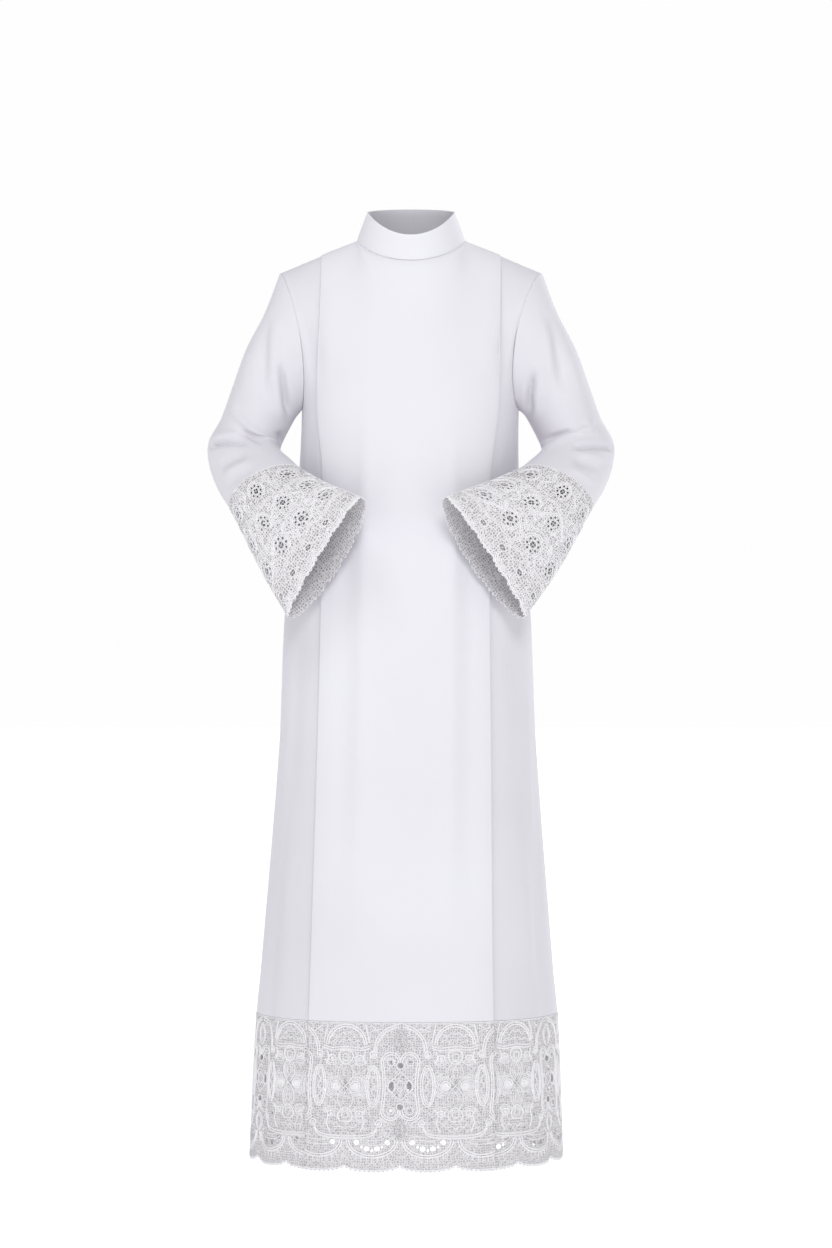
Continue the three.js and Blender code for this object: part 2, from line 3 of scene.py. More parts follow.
import bpy
import numpy as np
from mathutils.geometry import delaunay_2d_cdt
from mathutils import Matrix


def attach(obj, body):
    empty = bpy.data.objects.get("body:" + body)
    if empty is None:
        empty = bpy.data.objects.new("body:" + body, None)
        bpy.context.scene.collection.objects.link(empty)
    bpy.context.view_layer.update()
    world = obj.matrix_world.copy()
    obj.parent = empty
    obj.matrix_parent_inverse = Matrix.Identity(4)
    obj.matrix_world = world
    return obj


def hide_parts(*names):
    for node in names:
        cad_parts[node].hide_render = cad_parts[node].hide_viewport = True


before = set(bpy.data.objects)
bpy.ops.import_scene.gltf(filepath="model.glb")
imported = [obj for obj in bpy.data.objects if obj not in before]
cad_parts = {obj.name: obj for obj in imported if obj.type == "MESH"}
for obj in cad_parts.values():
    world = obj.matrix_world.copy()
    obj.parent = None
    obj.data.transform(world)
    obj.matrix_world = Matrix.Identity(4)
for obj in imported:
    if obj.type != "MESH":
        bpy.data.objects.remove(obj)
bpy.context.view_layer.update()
bpy.ops.object.select_all(action="DESELECT")
print("frame loaded")

# Lengths below are in millimetres unless a name says otherwise. Meshes are in metres.
mm = 0.001

# The body's form: at each height z its half width and sideways shift, its depth in front and
# behind, and the centre panel's half width and drift
bodyForm = {
    "z": [10, -60, -140, -250, -350, -560, -750, -1090, -1152, -1370],
    "half": [170, 168, 164, 162, 165, 184, 192, 219, 225, 234.5],
    "shift": [0, 0, 0, -1, -3, -5, -5, -6, -6, -7],
    "front": [88, 98, 113, 126, 130, 140, 154, 184, 190, 212],
    "back": [74, 88, 99, 106, 110, 128, 147, 180, 187, 210],
    "panel": [133, 133, 134, 134, 124, 124, 127, 133, 134.5, 138.5],
    "drift": [0, -1, -3, -5, -6.5, -8.5, -10, -14, -14.5, -16.5],
}
bodyForm = {name: np.array(values, float) for name, values in bodyForm.items()}
squareness = 2.3
heights = {"underarm": -250.0, "laceTop": -1152.0}
neckSeam = {"half": 80, "front": 72, "back": 62, "side": 3, "fall": 35, "rise": 11, "bend": 1.3}
collarTop = {"half": 64, "front": 63, "back": 49, "side": 46, "fall": 39, "rise": 9, "bend": 1.6}
shoulder = {"tip": 195, "drop": 46}
armhole = {"inner": 162, "front": 54, "back": 58, "hollow": 2.2, "cutIn": 10, "sway": -4}
pleat = {
    "depth": 28, "layer": 3.2, "pressed": 1.3,  # its layers lie "pressed" apart at the shoulder
    "liftFrom": 0.6,  # share of the panel where it starts to rise onto the pleat
    "lean": 0.82, "steps": 5, "foldSteps": 7,
}
evening = {"spread": 20, "inner": (0.08, 0.3), "outer": (0.8, 0.98), "ends": 0.3}
# Rings down the left sleeve and its bell: outer and inner point, and the bulge forward and back.
# The right one mirrors them, and both drift across as they come forward.
sleeveForm = [
    {"outer": (219, 1, -106), "inner": (169, 0, -256), "front": 55, "back": 56},
    {"outer": (246, 3, -158), "inner": (175, 2, -264), "front": 54, "back": 55},
    {"outer": (266, 6, -212), "inner": (181, 4, -275), "front": 53, "back": 54},
    {"outer": (284, 10, -262), "inner": (189, 4, -290), "front": 52, "back": 52},
    {"outer": (303, 14, -303), "inner": (197, -4, -307), "front": 52, "back": 50},
    {"outer": (299, 8, -340), "inner": (191, -30, -317), "front": 52, "back": 46},
    {"outer": (284, -14, -376), "inner": (178, -58, -328), "front": 50, "back": 40},
    {"outer": (264, -42, -406), "inner": (163, -90, -341), "front": 46, "back": 35},
    {"outer": (246, -62, -438), "inner": (141, -122, -353), "front": 41, "back": 34},
    {"outer": (228, -85, -473), "inner": (119, -150, -364), "front": 34, "back": 36},
    {"outer": (204, -112, -515), "inner": (92, -178, -375), "front": 24, "back": 38},
    {"outer": (172, -142, -563), "inner": (61, -207, -388), "front": 13, "back": 40},
]
clothRings = 8  # rings of cloth, before the lace bell starts on the last of them
sleeveDrift = {"from": -60, "to": -200, "across": -10.7}
seam = 0.2  # left free on each side of a seam
setIn = {"collar": 0.6, "sleeve": 1.4}  # how far these stand off the body's edge


def smooth(value, low, high):
    t = np.clip((value - low) / (high - low), 0, 1)
    return t * t * (3 - 2 * t)


def unit(v):
    return v / np.maximum(np.linalg.norm(v, axis=-1, keepdims=True), 1e-12)


def stack(x, y, z):
    return np.stack(np.broadcast_arrays(x, y, z), axis=-1).astype(float)


# Distances between neighbours along an axis of a table of points
def gaps(points, axis=0):
    return np.linalg.norm(np.diff(points, axis=axis), axis=-1)


def running(lengths):
    return np.concatenate([[0], np.cumsum(lengths)])


# From a to b as t goes from 0 to 1, leaving with slope m0 and arriving with m1
def eased(t, a, b, m0, m1):
    start = (2 * t**3 - 3 * t**2 + 1) * a + (t**3 - 2 * t**2 + t) * m0
    return start + (3 * t**2 - 2 * t**3) * b + (t**3 - t**2) * m1


# Value of a named column of the body's table at heights, on a smooth curve through its rows
def column(name, z):
    zs, values = bodyForm["z"], bodyForm[name]
    last = len(zs) - 1
    at = np.clip(z, zs[-1], zs[0])
    i = np.clip(np.searchsorted(-zs, -at, side="left") - 1, 0, last - 1)
    before, after = np.maximum(np.arange(last + 1) - 1, 0), np.minimum(np.arange(last + 1) + 1, last)
    slope = (values[after] - values[before]) / (zs[after] - zs[before])
    span = zs[i + 1] - zs[i]
    return eased((at - zs[i]) / span, values[i], values[i + 1], span * slope[i], span * slope[i + 1])


def rimPoint(rim, facing, side, turn):
    c = np.maximum(np.cos(turn), 0)
    y = np.where(facing < 0, -rim["front"] * c, rim["back"] * c)
    z = np.where(facing < 0, rim["side"] - rim["fall"] * c ** rim["bend"], rim["side"] + rim["rise"] * c)
    return stack(side * rim["half"] * np.sin(turn), y, z)


def topPoint(facing, side, across):
    edge = bodyForm["panel"][0]
    x = np.where(across <= 1, across * edge, edge + (across - 1) * (shoulder["tip"] - edge))
    rim = rimPoint(neckSeam, facing, side, np.arcsin(np.clip(x / neckSeam["half"], 0, 1)))
    run = (x - neckSeam["half"]) / (shoulder["tip"] - neckSeam["half"])
    seamLine = stack(side * x, 0, neckSeam["side"] - (shoulder["drop"] + neckSeam["side"]) * run)
    return np.where((x < neckSeam["half"])[..., None], rim, seamLine)


def armholePoint(facing, side, turn):
    high, low = -shoulder["drop"], heights["underarm"]
    z = (high + low) / 2 + (high - low) / 2 * np.cos(turn)
    up = np.clip((z - low) / (high - low), 0, 1)
    bow = np.sin(turn)
    x = armhole["inner"] + (shoulder["tip"] - armhole["inner"]) * up ** armhole["hollow"]
    bulge = np.where(facing < 0, armhole["front"], armhole["back"])
    shift = column("shift", low) * (1 - up) + armhole["sway"] * bow
    return stack(side * (x - armhole["cutIn"] * bow) + shift, facing * bulge * bow, z)


def sectionPoint(facing, side, across, z):
    half, shift, panel, drift = (column(name, z) for name in ("half", "shift", "panel", "drift"))
    depth = column("front" if facing < 0 else "back", z)
    power = 2 / squareness

    def angleAt(x):
        return np.arcsin(np.minimum(np.abs(x - shift) / half, 1) ** (1 / power))

    x = drift + side * across * panel
    panelPoint = stack(x, facing * depth * np.cos(angleAt(x)) ** power, z)
    start = angleAt(drift + side * panel)
    angle = np.minimum(start + (np.pi / 2 - start) * (across - 1), np.pi / 2)
    angle = np.maximum(angle, 0)
    sideX = shift + side * half * np.sin(angle) ** power
    sidePoint = stack(sideX, facing * depth * np.maximum(np.cos(angle), 0) ** power, z)
    return np.where((across <= 1)[..., None], panelPoint, sidePoint)


def risingPoint(facing, side, across, up):
    top = topPoint(facing, side, across)
    z = heights["underarm"] + (top[..., 2] - heights["underarm"]) * up
    low = sectionPoint(facing, side, across, z)
    turnIn = 1 - np.sqrt(np.maximum(1 - up * up, 0))
    x = low[..., 0] + (top[..., 0] - low[..., 0]) * up * up
    return stack(x, low[..., 1] + (top[..., 1] - low[..., 1]) * turnIn, z)


# The body's surface. level runs from 1 at the shoulders to 0 at the underarm, and below that it
# is the height under the underarm, as a negative number. across is 0 at the centre, 1 at the
# panel's edge and 2 at the side seam or armhole.
def bodyPoint(facing, side, across, level):
    side, across, level = np.broadcast_arrays(np.asarray(side, float), across, np.asarray(level, float))
    up = np.clip(level, 0, 1)
    below = sectionPoint(facing, side, across, heights["underarm"] + np.minimum(level, 0))
    inner = risingPoint(facing, side, np.minimum(across, 1), up)
    r = np.clip(across - 1, 0, 1)
    one, two = np.ones_like(across), 2 * np.ones_like(across)
    under = np.full_like(across, heights["underarm"])
    low = sectionPoint(facing, side, np.maximum(across, 1.0), under)
    near = risingPoint(facing, side, one, up)
    far = armholePoint(facing, side, np.pi * (1 - up))
    patch = low * (1 - up)[..., None] + topPoint(facing, side, np.maximum(across, 1)) * up[..., None]
    patch += near * (1 - r)[..., None] + far * r[..., None]
    corners = (
        (sectionPoint(facing, side, one, under), (1 - r) * (1 - up)),
        (armholePoint(facing, side, np.full_like(across, np.pi)), r * (1 - up)),
        (topPoint(facing, side, one), (1 - r) * up),
        (topPoint(facing, side, two), r * up),
    )
    for corner, share in corners:
        patch -= corner * share[..., None]
    above = np.where((across <= 1)[..., None], inner, patch)
    return np.where((level <= 0)[..., None], below, above)


# Points beside the body's surface: moved along it, away from the centre, and out from it. The
# directions come from steps of a small share, or of 2 millimetres where level is a height.
def bodyFrame(facing, side, across, level, along, out, small=0.01, fall=2.0):
    across0, across1 = np.maximum(across - small, 0), np.minimum(across + small, 2)
    high = level > 0
    step = np.where(high, small, fall)
    lower = np.where(high, np.maximum(level - step, 0), level - step)
    upper = np.minimum(level + step, np.where(high, 1, 0))
    away = unit(bodyPoint(facing, side, across1, level) - bodyPoint(facing, side, across0, level))
    down = unit(bodyPoint(facing, side, across, lower) - bodyPoint(facing, side, across, upper))
    normal = unit(np.cross(down, away)) * (-side * facing)[..., None]
    return bodyPoint(facing, side, across, level) + away * along[..., None] + normal * out[..., None]


def evenShares(steps):
    return np.arange(steps + 1) / steps


# Columns of cloth from the centre to the side seam, as the fields that bodyGrid reads: where they
# lie across, how far along the surface and how many layers under it, how far a fold bows out, and
# how much they stand off the shoulder
def plainColumns(shares, outer):
    across = np.concatenate([shares, 1 + evenShares(outer)[1:]])
    zero = np.zeros_like(across)
    return {"across": across, "along": zero, "bow": zero, "under": zero, "lift": zero}


def pleatColumns(shares, sideSteps):
    rows = [(a, 0, 0, 0, smooth(a, pleat["liftFrom"], 1)) for a in shares]

    def fold(along, under, way):
        for i in range(1, pleat["foldSteps"]):
            turn = math.pi * i / pleat["foldSteps"]
            rows.append((1, along, way * math.sin(turn) / 2, under + (1 - math.cos(turn)) / 2, 1))

    parts = evenShares(pleat["steps"])
    fold(0, 0, 1)
    rows.extend((1, -pleat["depth"] * part, 0, 1, 1) for part in parts)
    fold(-pleat["depth"], 1, -1)
    rows.extend((1, -pleat["depth"] * part, 0, 2, 1) for part in 1 - parts)
    for i in range(1, sideSteps + 1):
        rest = 1 - i / sideSteps
        rows.append((2 - rest, 0, 0, 2 * rest, rest))
    table = np.array(rows, float).T
    return dict(zip(("across", "along", "bow", "under", "lift"), table))


# Shares of the panel's half width, closer together over the neck, with one at the side neck point
def neckShares():
    neck = neckSeam["half"] / bodyForm["panel"][0]
    over = neck * np.sin(np.arange(cloth["neckSteps"]) / cloth["neckSteps"] * np.pi / 2)
    return np.concatenate([over, neck + (1 - neck) * evenShares(cloth["shoulderSteps"])])


def bothSides(columns):
    count = len(columns["across"])
    side = np.concatenate([-np.ones(count), np.ones(count - 1)])
    whole = {k: np.concatenate([v[::-1], v[1:]]) for k, v in columns.items()}
    return {**whole, "side": side}


def oneSide(columns, side):
    return {**columns, "side": np.full(len(columns["across"]), float(side))}


def turned(columns):
    return {k: v[::-1] for k, v in columns.items()}


# A grid of points on the body, a row for each level and a column for each entry of the columns
def bodyGrid(facing, columns, levels):
    levels = np.asarray(levels, float)[:, None]
    c = {k: v[None, :] for k, v in columns.items()}
    press = np.maximum(levels, 0) ** 2
    layer = pleat["layer"] + (pleat["pressed"] - pleat["layer"]) * press
    stop = np.where(c["across"] == 2, -seam, 0)
    # the pleat's hidden layers follow the panel's curve inward from its edge
    follow = np.where(c["across"] == 1, c["along"], 0)
    along = c["along"] - follow + c["bow"] * layer + stop
    inner = c["across"] + follow * pleat["lean"] / bodyForm["panel"][0]
    out = (c["lift"] * press - c["under"]) * layer
    shape = np.broadcast_shapes(levels.shape, c["across"].shape)
    side, across, level, along, out = (
        np.broadcast_to(v, shape) for v in (c["side"], inner, levels, along, out)
    )
    return bodyFrame(facing, side, across, level, along, out)


# Evens out the fold line that would run down the panel from the side neck point
def evened(grid, columns, levels):
    across, top = columns["across"], columns["under"] == 0
    inside = smooth(across, *evening["inner"]) * (1 - smooth(across, *evening["outer"])) * top
    for row, level in enumerate(levels):
        if not 0 < level < 1:
            continue
        ends = smooth(1 - level, 0, evening["ends"]) * smooth(level, 0, evening["ends"])
        spread = evening["spread"] * ends + 0.01
        x = grid[row, :, 0]
        weight = np.exp(-(((x[:, None] - x) / spread) ** 2)) * np.abs(np.gradient(x)) * top
        mean = weight @ grid[row, :, 1:] / np.maximum(weight.sum(axis=1, keepdims=True), 1e-9)
        grid[row, :, 1:] += (mean - grid[row, :, 1:]) * inside[:, None]
    return grid


# Outward normals of a grid whose columns run round the piece and whose rows run down it
def gridNormals(grid, closed=False):
    if closed:
        across = np.roll(grid, -1, axis=1) - np.roll(grid, 1, axis=1)
    else:
        across = np.gradient(grid, axis=1)
    return unit(-np.cross(across, np.gradient(grid, axis=0)))


# Soft creases. Each is a line across the front, back or a side, in that view's own width and
# height, with how wide and high it is at its middle: a trough is negative and a ridge positive.
# ends says which share of its length it takes to rise at either end.
views = {"front": (0, 1, -1), "back": (0, 1, 1), "left": (1, 0, 1), "right": (1, 0, -1)}


def crease(view, wide, high, *line, ends=(0.35, 0.35)):
    return {"view": view, "wide": wide, "high": high, "line": np.array(line, float), "ends": ends}


def creased(grid, creases, closed=False):
    normals = gridNormals(grid, closed)
    shift = np.zeros(grid.shape[:2])
    for fold in creases:
        flat, toward, sign = views[fold["view"]]
        line, spot = fold["line"], grid[..., (flat, 2)]
        seen = smooth(normals[..., toward] * sign, 0.0, 0.45)
        lengths = running(gaps(line))
        best, place = np.full(grid.shape[:2], 1e9), np.zeros(grid.shape[:2])
        for a, b, start, end in zip(line[:-1], line[1:], lengths[:-1], lengths[1:]):
            t = np.clip(((spot - a) @ (b - a)) / ((b - a) @ (b - a)), 0, 1)
            far = np.linalg.norm(spot - a - t[..., None] * (b - a), axis=-1)
            place = np.where(far < best, (start + (end - start) * t) / lengths[-1], place)
            best = np.minimum(far, best)
        lead, tail = fold["ends"]
        fade = smooth(place, 0, lead) * smooth(1 - place, 0, tail)
        shift += fold["high"] * np.exp(-((best / fold["wide"]) ** 2)) * fade * seen
    return grid + normals * shift[..., None]


# Material nodes: a wrapped socket on which Python's operators add Math nodes
class Socket:
    def __init__(self, paint, socket):
        self.paint, self.socket = paint, socket

    def maths(self, operation, first, second):
        return self.paint.node("ShaderNodeMath", {"operation": operation}, first, second)

    def __add__(self, other):
        return self.maths("ADD", self, other)

    def __sub__(self, other):
        return self.maths("SUBTRACT", self, other)

    def __rsub__(self, other):
        return self.maths("SUBTRACT", other, self)

    def __mul__(self, other):
        return self.maths("MULTIPLY", self, other)

    __radd__, __rmul__ = __add__, __mul__


# The nodes of a material or a world, with the shader that closes them
class Paint:
    def __init__(self, owner, shader="Principled BSDF"):
        owner.use_nodes = True
        self.owner, self.tree = owner, owner.node_tree
        self.shader = self.tree.nodes[shader]

    # Adds a node: its settings, then the values or links of its inputs in order or by name
    def node(self, kind, settings=None, *inputs, out=0, **named):
        made = self.tree.nodes.new(kind)
        for key, value in (settings or {}).items():
            setattr(made, key, value)
        for socket, value in [*enumerate(inputs), *named.items()]:
            self.feed(made.inputs[socket], value)
        return Socket(self, made.outputs[out])

    def feed(self, socket, value):
        if isinstance(value, Socket):
            self.tree.links.new(value.socket, socket)
        elif value is not None:
            socket.default_value = value

    def finish(self, **sockets):
        for name, value in sockets.items():
            self.feed(self.shader.inputs[name.replace("_", " ")], value)
        return self.owner

    def steps(self, value, low, high):
        settings = {"interpolation_type": "SMOOTHSTEP"}
        return self.node("ShaderNodeMapRange", settings, value, low, high, 0.0, 1.0)

    def mixed(self, factor, first, second):
        made = self.tree.nodes.new("ShaderNodeMix")
        made.data_type = "RGBA"
        for index, value in ((0, factor), (6, first), (7, second)):
            self.feed(made.inputs[index], value)
        return Socket(self, made.outputs[2])

    def bump(self, height, strength, distance):
        links = {"Strength": strength, "Distance": distance, "Height": height}
        return self.node("ShaderNodeBump", None, **links)


crepe = {
    "colour": (0.745, 0.74, 0.79, 1),
    "shade": (0.715, 0.705, 0.755, 1),
    "paintedShadeColour": (0.70, 0.69, 0.735, 1),  # painted shade, the darker tone of the cloth outside the front panel
    "paintedShadeDark": (0.665, 0.65, 0.70, 1),
    "pebble": 0.0009,  # metres between the grains of the crepe
    "cloud": 0.22,  # metres across a patch of slightly other tone
    "bump": 0.35,
    "relief": 0.00012,
    "stretch": (1.0, 1.0, 0.55),  # of the grain, longer down the cloth
    "rough": 0.56, "stiffRough": 0.5, "roughness": 0.16,
}


def crepePaint(name, stiff=False):
    paint = Paint(bpy.data.materials.new(name))
    place = paint.node("ShaderNodeTexCoord", out=3)
    stretch = paint.node("ShaderNodeVectorMath", {"operation": "MULTIPLY"}, place, crepe["stretch"])
    fine = {"Vector": stretch, "Scale": 1 / crepe["pebble"], "Detail": 2.0, "Roughness": 0.6}
    grain = paint.node("ShaderNodeTexNoise", None, **fine)
    large = {"Vector": place, "Scale": 1 / crepe["cloud"], "Detail": 2.0}
    cloud = paint.node("ShaderNodeTexNoise", None, **large)
    tone = paint.steps(cloud * 0.8 + grain * 0.2, 0.25, 0.75)
    colour = paint.mixed(tone, crepe["shade"], crepe["colour"])
    # outside the front panel the colour turns to painted shade, where the mask attribute stored by clothPiece
    # is 1
    if not stiff:
        paintedShadeMask = paint.node("ShaderNodeAttribute", {"attribute_name": "paintedShadeMask"}, out=2)
        colour = paint.mixed(paintedShadeMask, colour, paint.mixed(tone, crepe["paintedShadeDark"], crepe["paintedShadeColour"]))
    rough = crepe["stiffRough" if stiff else "rough"] + crepe["roughness"] * grain
    normal = paint.bump(grain, crepe["bump"], crepe["relief"])
    return paint.finish(
        Base_Color=colour, Roughness=rough, Normal=normal, Specular_IOR_Level=0.35,
        Sheen_Weight=0.25, Sheen_Roughness=0.45, Sheen_Tint=(0.96, 0.95, 1.0, 1),
    )


# Net grounds: metres from one cell to the next in the mesh and in the web of thicker threads on it, how much
# of a pore is filled, and the tones of the painted shade in the pores and of the threads
hemNet = {
    "mesh": 0.0037, "web": 0.0095, "filled": 0.75,
    "paintedPoreShade": (0.46, 0.445, 0.465, 1), "thread": (0.70, 0.69, 0.715, 1),
}
cuffNet = {
    "mesh": 0.0042, "web": 0.0105, "filled": 0.5,
    "paintedPoreShade": (0.48, 0.465, 0.48, 1), "thread": (0.755, 0.745, 0.77, 1),
}
netThreads = {
    "fine": (0.12, 0.22),  # shares of a cell at which a thread starts and stops thinning out
    "thick": (0.05, 0.11),
    "weight": 0.9,  # of the web beside the mesh
    "stray": 0.012,  # metres that the web wanders
    "strays": 110.0,  # wanderings in a metre
    "patches": 60.0,  # patches of other tone in a metre
    "relief": 0.0002,
}
cordLook = {
    "low": (0.77, 0.765, 0.79, 1), "high": (0.88, 0.87, 0.895, 1),
    "thread": 0.0004,  # metres between its threads
    "patches": 35.0, "relief": 0.00015,
}


def groundPaint(name, net):
    paint = Paint(bpy.data.materials.new(name))
    place = paint.node("ShaderNodeUVMap")
    cells = {"voronoi_dimensions": "2D", "feature": "DISTANCE_TO_EDGE"}
    mesh = {"Vector": place, "Scale": 1 / net["mesh"], "Randomness": 0.62}
    edge = paint.node("ShaderNodeTexVoronoi", cells, **mesh)
    curl = paint.node("ShaderNodeTexNoise", None, Vector=place, Scale=netThreads["strays"], Detail=1.0, out=1)
    stray = (netThreads["stray"], netThreads["stray"], 0)
    curled = paint.node("ShaderNodeVectorMath", {"operation": "MULTIPLY_ADD"}, curl, stray, place)
    web = paint.node("ShaderNodeTexVoronoi", cells, Vector=curled, Scale=1 / net["web"], Randomness=1.0)
    fine = 1 - paint.steps(edge, *netThreads["fine"])
    thick = paint.steps(web, *netThreads["thick"]) * netThreads["weight"]
    thread = paint.steps(fine + netThreads["weight"] - thick, 0, 1)
    patch = paint.node("ShaderNodeTexNoise", None, Vector=place, Scale=netThreads["patches"], Detail=2.0)
    # the pores hold a finer mesh, coloured with a dark painted shade that stands for the shadow seen through
    # the net
    colour = paint.mixed(thread * 0.8 + patch * 0.2, net["paintedPoreShade"], net["thread"])
    return paint.finish(
        Base_Color=colour, Roughness=0.72 + 0.1 * patch, Normal=paint.bump(thread, 0.6, netThreads["relief"]),
        Alpha=net["filled"] + (1 - net["filled"]) * thread, Specular_IOR_Level=0.25,
    )


def cordPaint(name):
    paint = Paint(bpy.data.materials.new(name))
    place = paint.node("ShaderNodeTexCoord", out=3)
    twist = {"Vector": place, "Scale": 1 / cordLook["thread"], "Detail": 1.0}
    thread = paint.node("ShaderNodeTexNoise", None, **twist)
    wide = paint.node("ShaderNodeTexNoise", None, Vector=place, Scale=cordLook["patches"])
    colour = paint.mixed(thread * 0.5 + wide * 0.5, cordLook["low"], cordLook["high"])
    normal = paint.bump(thread, 0.5, cordLook["relief"])
    return paint.finish(
        Base_Color=colour, Roughness=0.6 + 0.15 * thread, Normal=normal, Sheen_Weight=0.15,
        Specular_IOR_Level=0.3,
    )


paints = {
    "crepe": crepePaint("crepe"),
    "collar": crepePaint("collarCrepe", stiff=True),
    "hemGround": groundPaint("hemLaceGround", hemNet),
    "cuffGround": groundPaint("cuffLaceGround", cuffNet),
    "cord": cordPaint("laceCord"),
}
print("materials made")


# Gives a piece its material and its body, and hides the solids that it replaces
def dress(piece, paint, slot, *nodes):
    piece.data.materials.clear()
    piece.data.materials.append(paints[paint])
    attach(piece, "root")
    if nodes:
        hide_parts(*nodes)
    return piece


def applyAll(piece):
    bpy.context.view_layer.objects.active = piece
    for modifier in list(piece.modifiers):
        bpy.ops.object.modifier_apply(modifier=modifier.name)


def solidify(piece, thickness):
    wall = piece.modifiers.new("wall", "SOLIDIFY")
    wall.thickness, wall.offset, wall.use_even_offset = thickness * mm, 0.0, False
    applyAll(piece)


def selectOnly(piece):
    bpy.ops.object.select_all(action="DESELECT")
    piece.select_set(True)
    bpy.context.view_layer.objects.active = piece


def smoothed(piece, degrees=50):
    selectOnly(piece)
    bpy.ops.object.shade_smooth_by_angle(angle=math.radians(degrees))
    piece.select_set(False)


cloth = {
    "wall": 1.0, "collarWall": 2.0,
    "upperRows": 34, "lowerStep": 10,  # rows over the underarm, and millimetres between those below
    "allowance": 4.0,  # folded in along each seam
    "turn": (0.7, 0.35),  # where the fold begins: inward, and back past the edge
    "neckSteps": 14, "shoulderSteps": 8, "sideSteps": 15,
}


# A sheet of cloth: a flat grid whose vertices are moved to the form, given a wall. Its last argument is a
# mask that says for each column whether painted shade darkens the cloth's colour there; without one, all of
# it is darkened.
def clothPiece(name, grid, thickness, closed=False, paintedShadeMask=None):
    if closed:
        grid = np.concatenate([grid, grid[:, :1]], axis=1)
    rows, cols = grid.shape[:2]
    bpy.ops.mesh.primitive_grid_add(x_subdivisions=cols - 1, y_subdivisions=rows - 1, size=2)
    piece = bpy.context.object
    piece.name = piece.data.name = name
    piece.data.vertices.foreach_set("co", (grid[::-1] * mm).ravel())
    piece.data.update()
    # the painted shade mask is kept on the points, for the material to read
    paintedShadeMask = np.ones(cols) if paintedShadeMask is None else paintedShadeMask
    tone = piece.data.attributes.new("paintedShadeMask", "FLOAT", "POINT")
    tone.data.foreach_set("value", np.tile(paintedShadeMask, rows).astype(float))
    if closed:
        bpy.ops.object.mode_set(mode="EDIT")
        bpy.ops.mesh.select_all(action="SELECT")
        bpy.ops.mesh.remove_doubles(threshold=1e-6)
        bpy.ops.object.mode_set(mode="OBJECT")
    solidify(piece, thickness)
    smoothed(piece)
    return piece


# Rows or columns past a sheet's edge, folded in as a seam allowance
def allowance(grid, axis, end, inward, along=0.0):
    grid = np.moveaxis(grid, axis, 0)
    edge, next_ = (grid[0], grid[1]) if end == 0 else (grid[-1], grid[-2])
    back = unit(next_ - edge)
    inside, past = cloth["turn"]
    first = edge + inward * inside - back * past
    second = edge + inward * cloth["allowance"] + back * along
    extra = np.stack([second, first] if end == 0 else [first, second])
    grid = np.concatenate([extra, grid] if end == 0 else [grid, extra])
    return np.moveaxis(grid, 0, axis)


hanging = (0.4, 0.05)  # ends of a fold that runs on into the hem

frontCreases = [
    crease("front", 13, 3.4, (-62, -120), (-68, -420), (-72, -700), (-80, -1010)),
    crease("front", 14, 3.2, (60, -160), (63, -400), (60, -760), (52, -1060)),
    crease("front", 16, -3, (-88, -260), (-98, -560), (-104, -1100)),
    crease("front", 16, -2.8, (84, -300), (86, -600), (84, -1100)),
    crease("front", 24, -3.2, (-24, -520), (-30, -800), (-34, -1140)),
    crease("front", 20, -2.4, (22, -640), (16, -900), (14, -1140)),
    crease("front", 9, -2.6, (-150, -90), (-143, -150), (-136, -225)),
    crease("front", 6, 1.6, (-176, -66), (-170, -110), (-160, -150)),
    crease("front", 9, -2.4, (148, -92), (141, -150), (134, -220)),
    crease("front", 6, 1.4, (174, -70), (168, -105), (160, -140)),
    crease("front", 5.5, -5.5, (-196, -690), (-203, -900), (-210, -1150)),
    crease("front", 10, 3.5, (-176, -560), (-184, -860), (-190, -1150)),
    crease("front", 5.5, -5, (182, -640), (189, -900), (196, -1150)),
    crease("front", 10, 3.2, (163, -620), (170, -900), (176, -1130)),
    crease("front", 7, -2.2, (-150, -265), (-148, -340), (-150, -420)),
    crease("front", 7, -2.2, (148, -270), (146, -350), (147, -440)),
]
backCreases = [
    crease("back", 17, 7.5, (-70, -330), (-82, -700), (-92, -1140), (-96, -1400), ends=hanging),
    crease("back", 15, -7.5, (-36, -420), (-45, -760), (-50, -1140), (-50, -1400), ends=(0.45, 0.05)),
    crease("back", 16, -7.5, (40, -380), (48, -700), (56, -1140), (60, -1400), ends=hanging),
    crease("back", 18, 7.5, (82, -300), (92, -640), (104, -1140), (110, -1400), ends=hanging),
    crease("back", 14, -6, (136, -460), (148, -800), (158, -1140), (164, -1400), ends=hanging),
    crease("back", 14, -6, (-128, -500), (-142, -820), (-154, -1140), (-160, -1400), ends=hanging),
    crease("back", 11, -3.8, (-118, -90), (-104, -150), (-98, -240)),
    crease("back", 11, -3.8, (120, -96), (108, -165), (102, -250)),
]
sideCreases = [
    crease("left", 13, -4.5, (-70, -330), (-78, -700), (-88, -1140), (-92, -1400), ends=hanging),
    crease("left", 14, -6, (48, -380), (60, -760), (72, -1140), (78, -1400), ends=hanging),
    crease("right", 13, -4.5, (-66, -350), (-76, -700), (-86, -1140), (-90, -1400), ends=hanging),
    crease("right", 14, -6, (52, -340), (62, -720), (76, -1140), (82, -1400), ends=hanging),
]
# The front takes none of the back's creases, as the pleats' middle layer faces back too
bodyCreases = {-1: frontCreases + sideCreases, 1: backCreases + sideCreases}


def bodyLevels():
    upper = np.sin(np.linspace(np.pi / 2, 0, cloth["upperRows"]))  # closer rows at the shoulder
    lower = np.arange(1, 1 + int((heights["underarm"] - heights["laceTop"]) / cloth["lowerStep"]))
    last = heights["laceTop"] + seam - heights["underarm"]
    return np.concatenate([upper, -lower * cloth["lowerStep"], [last]])


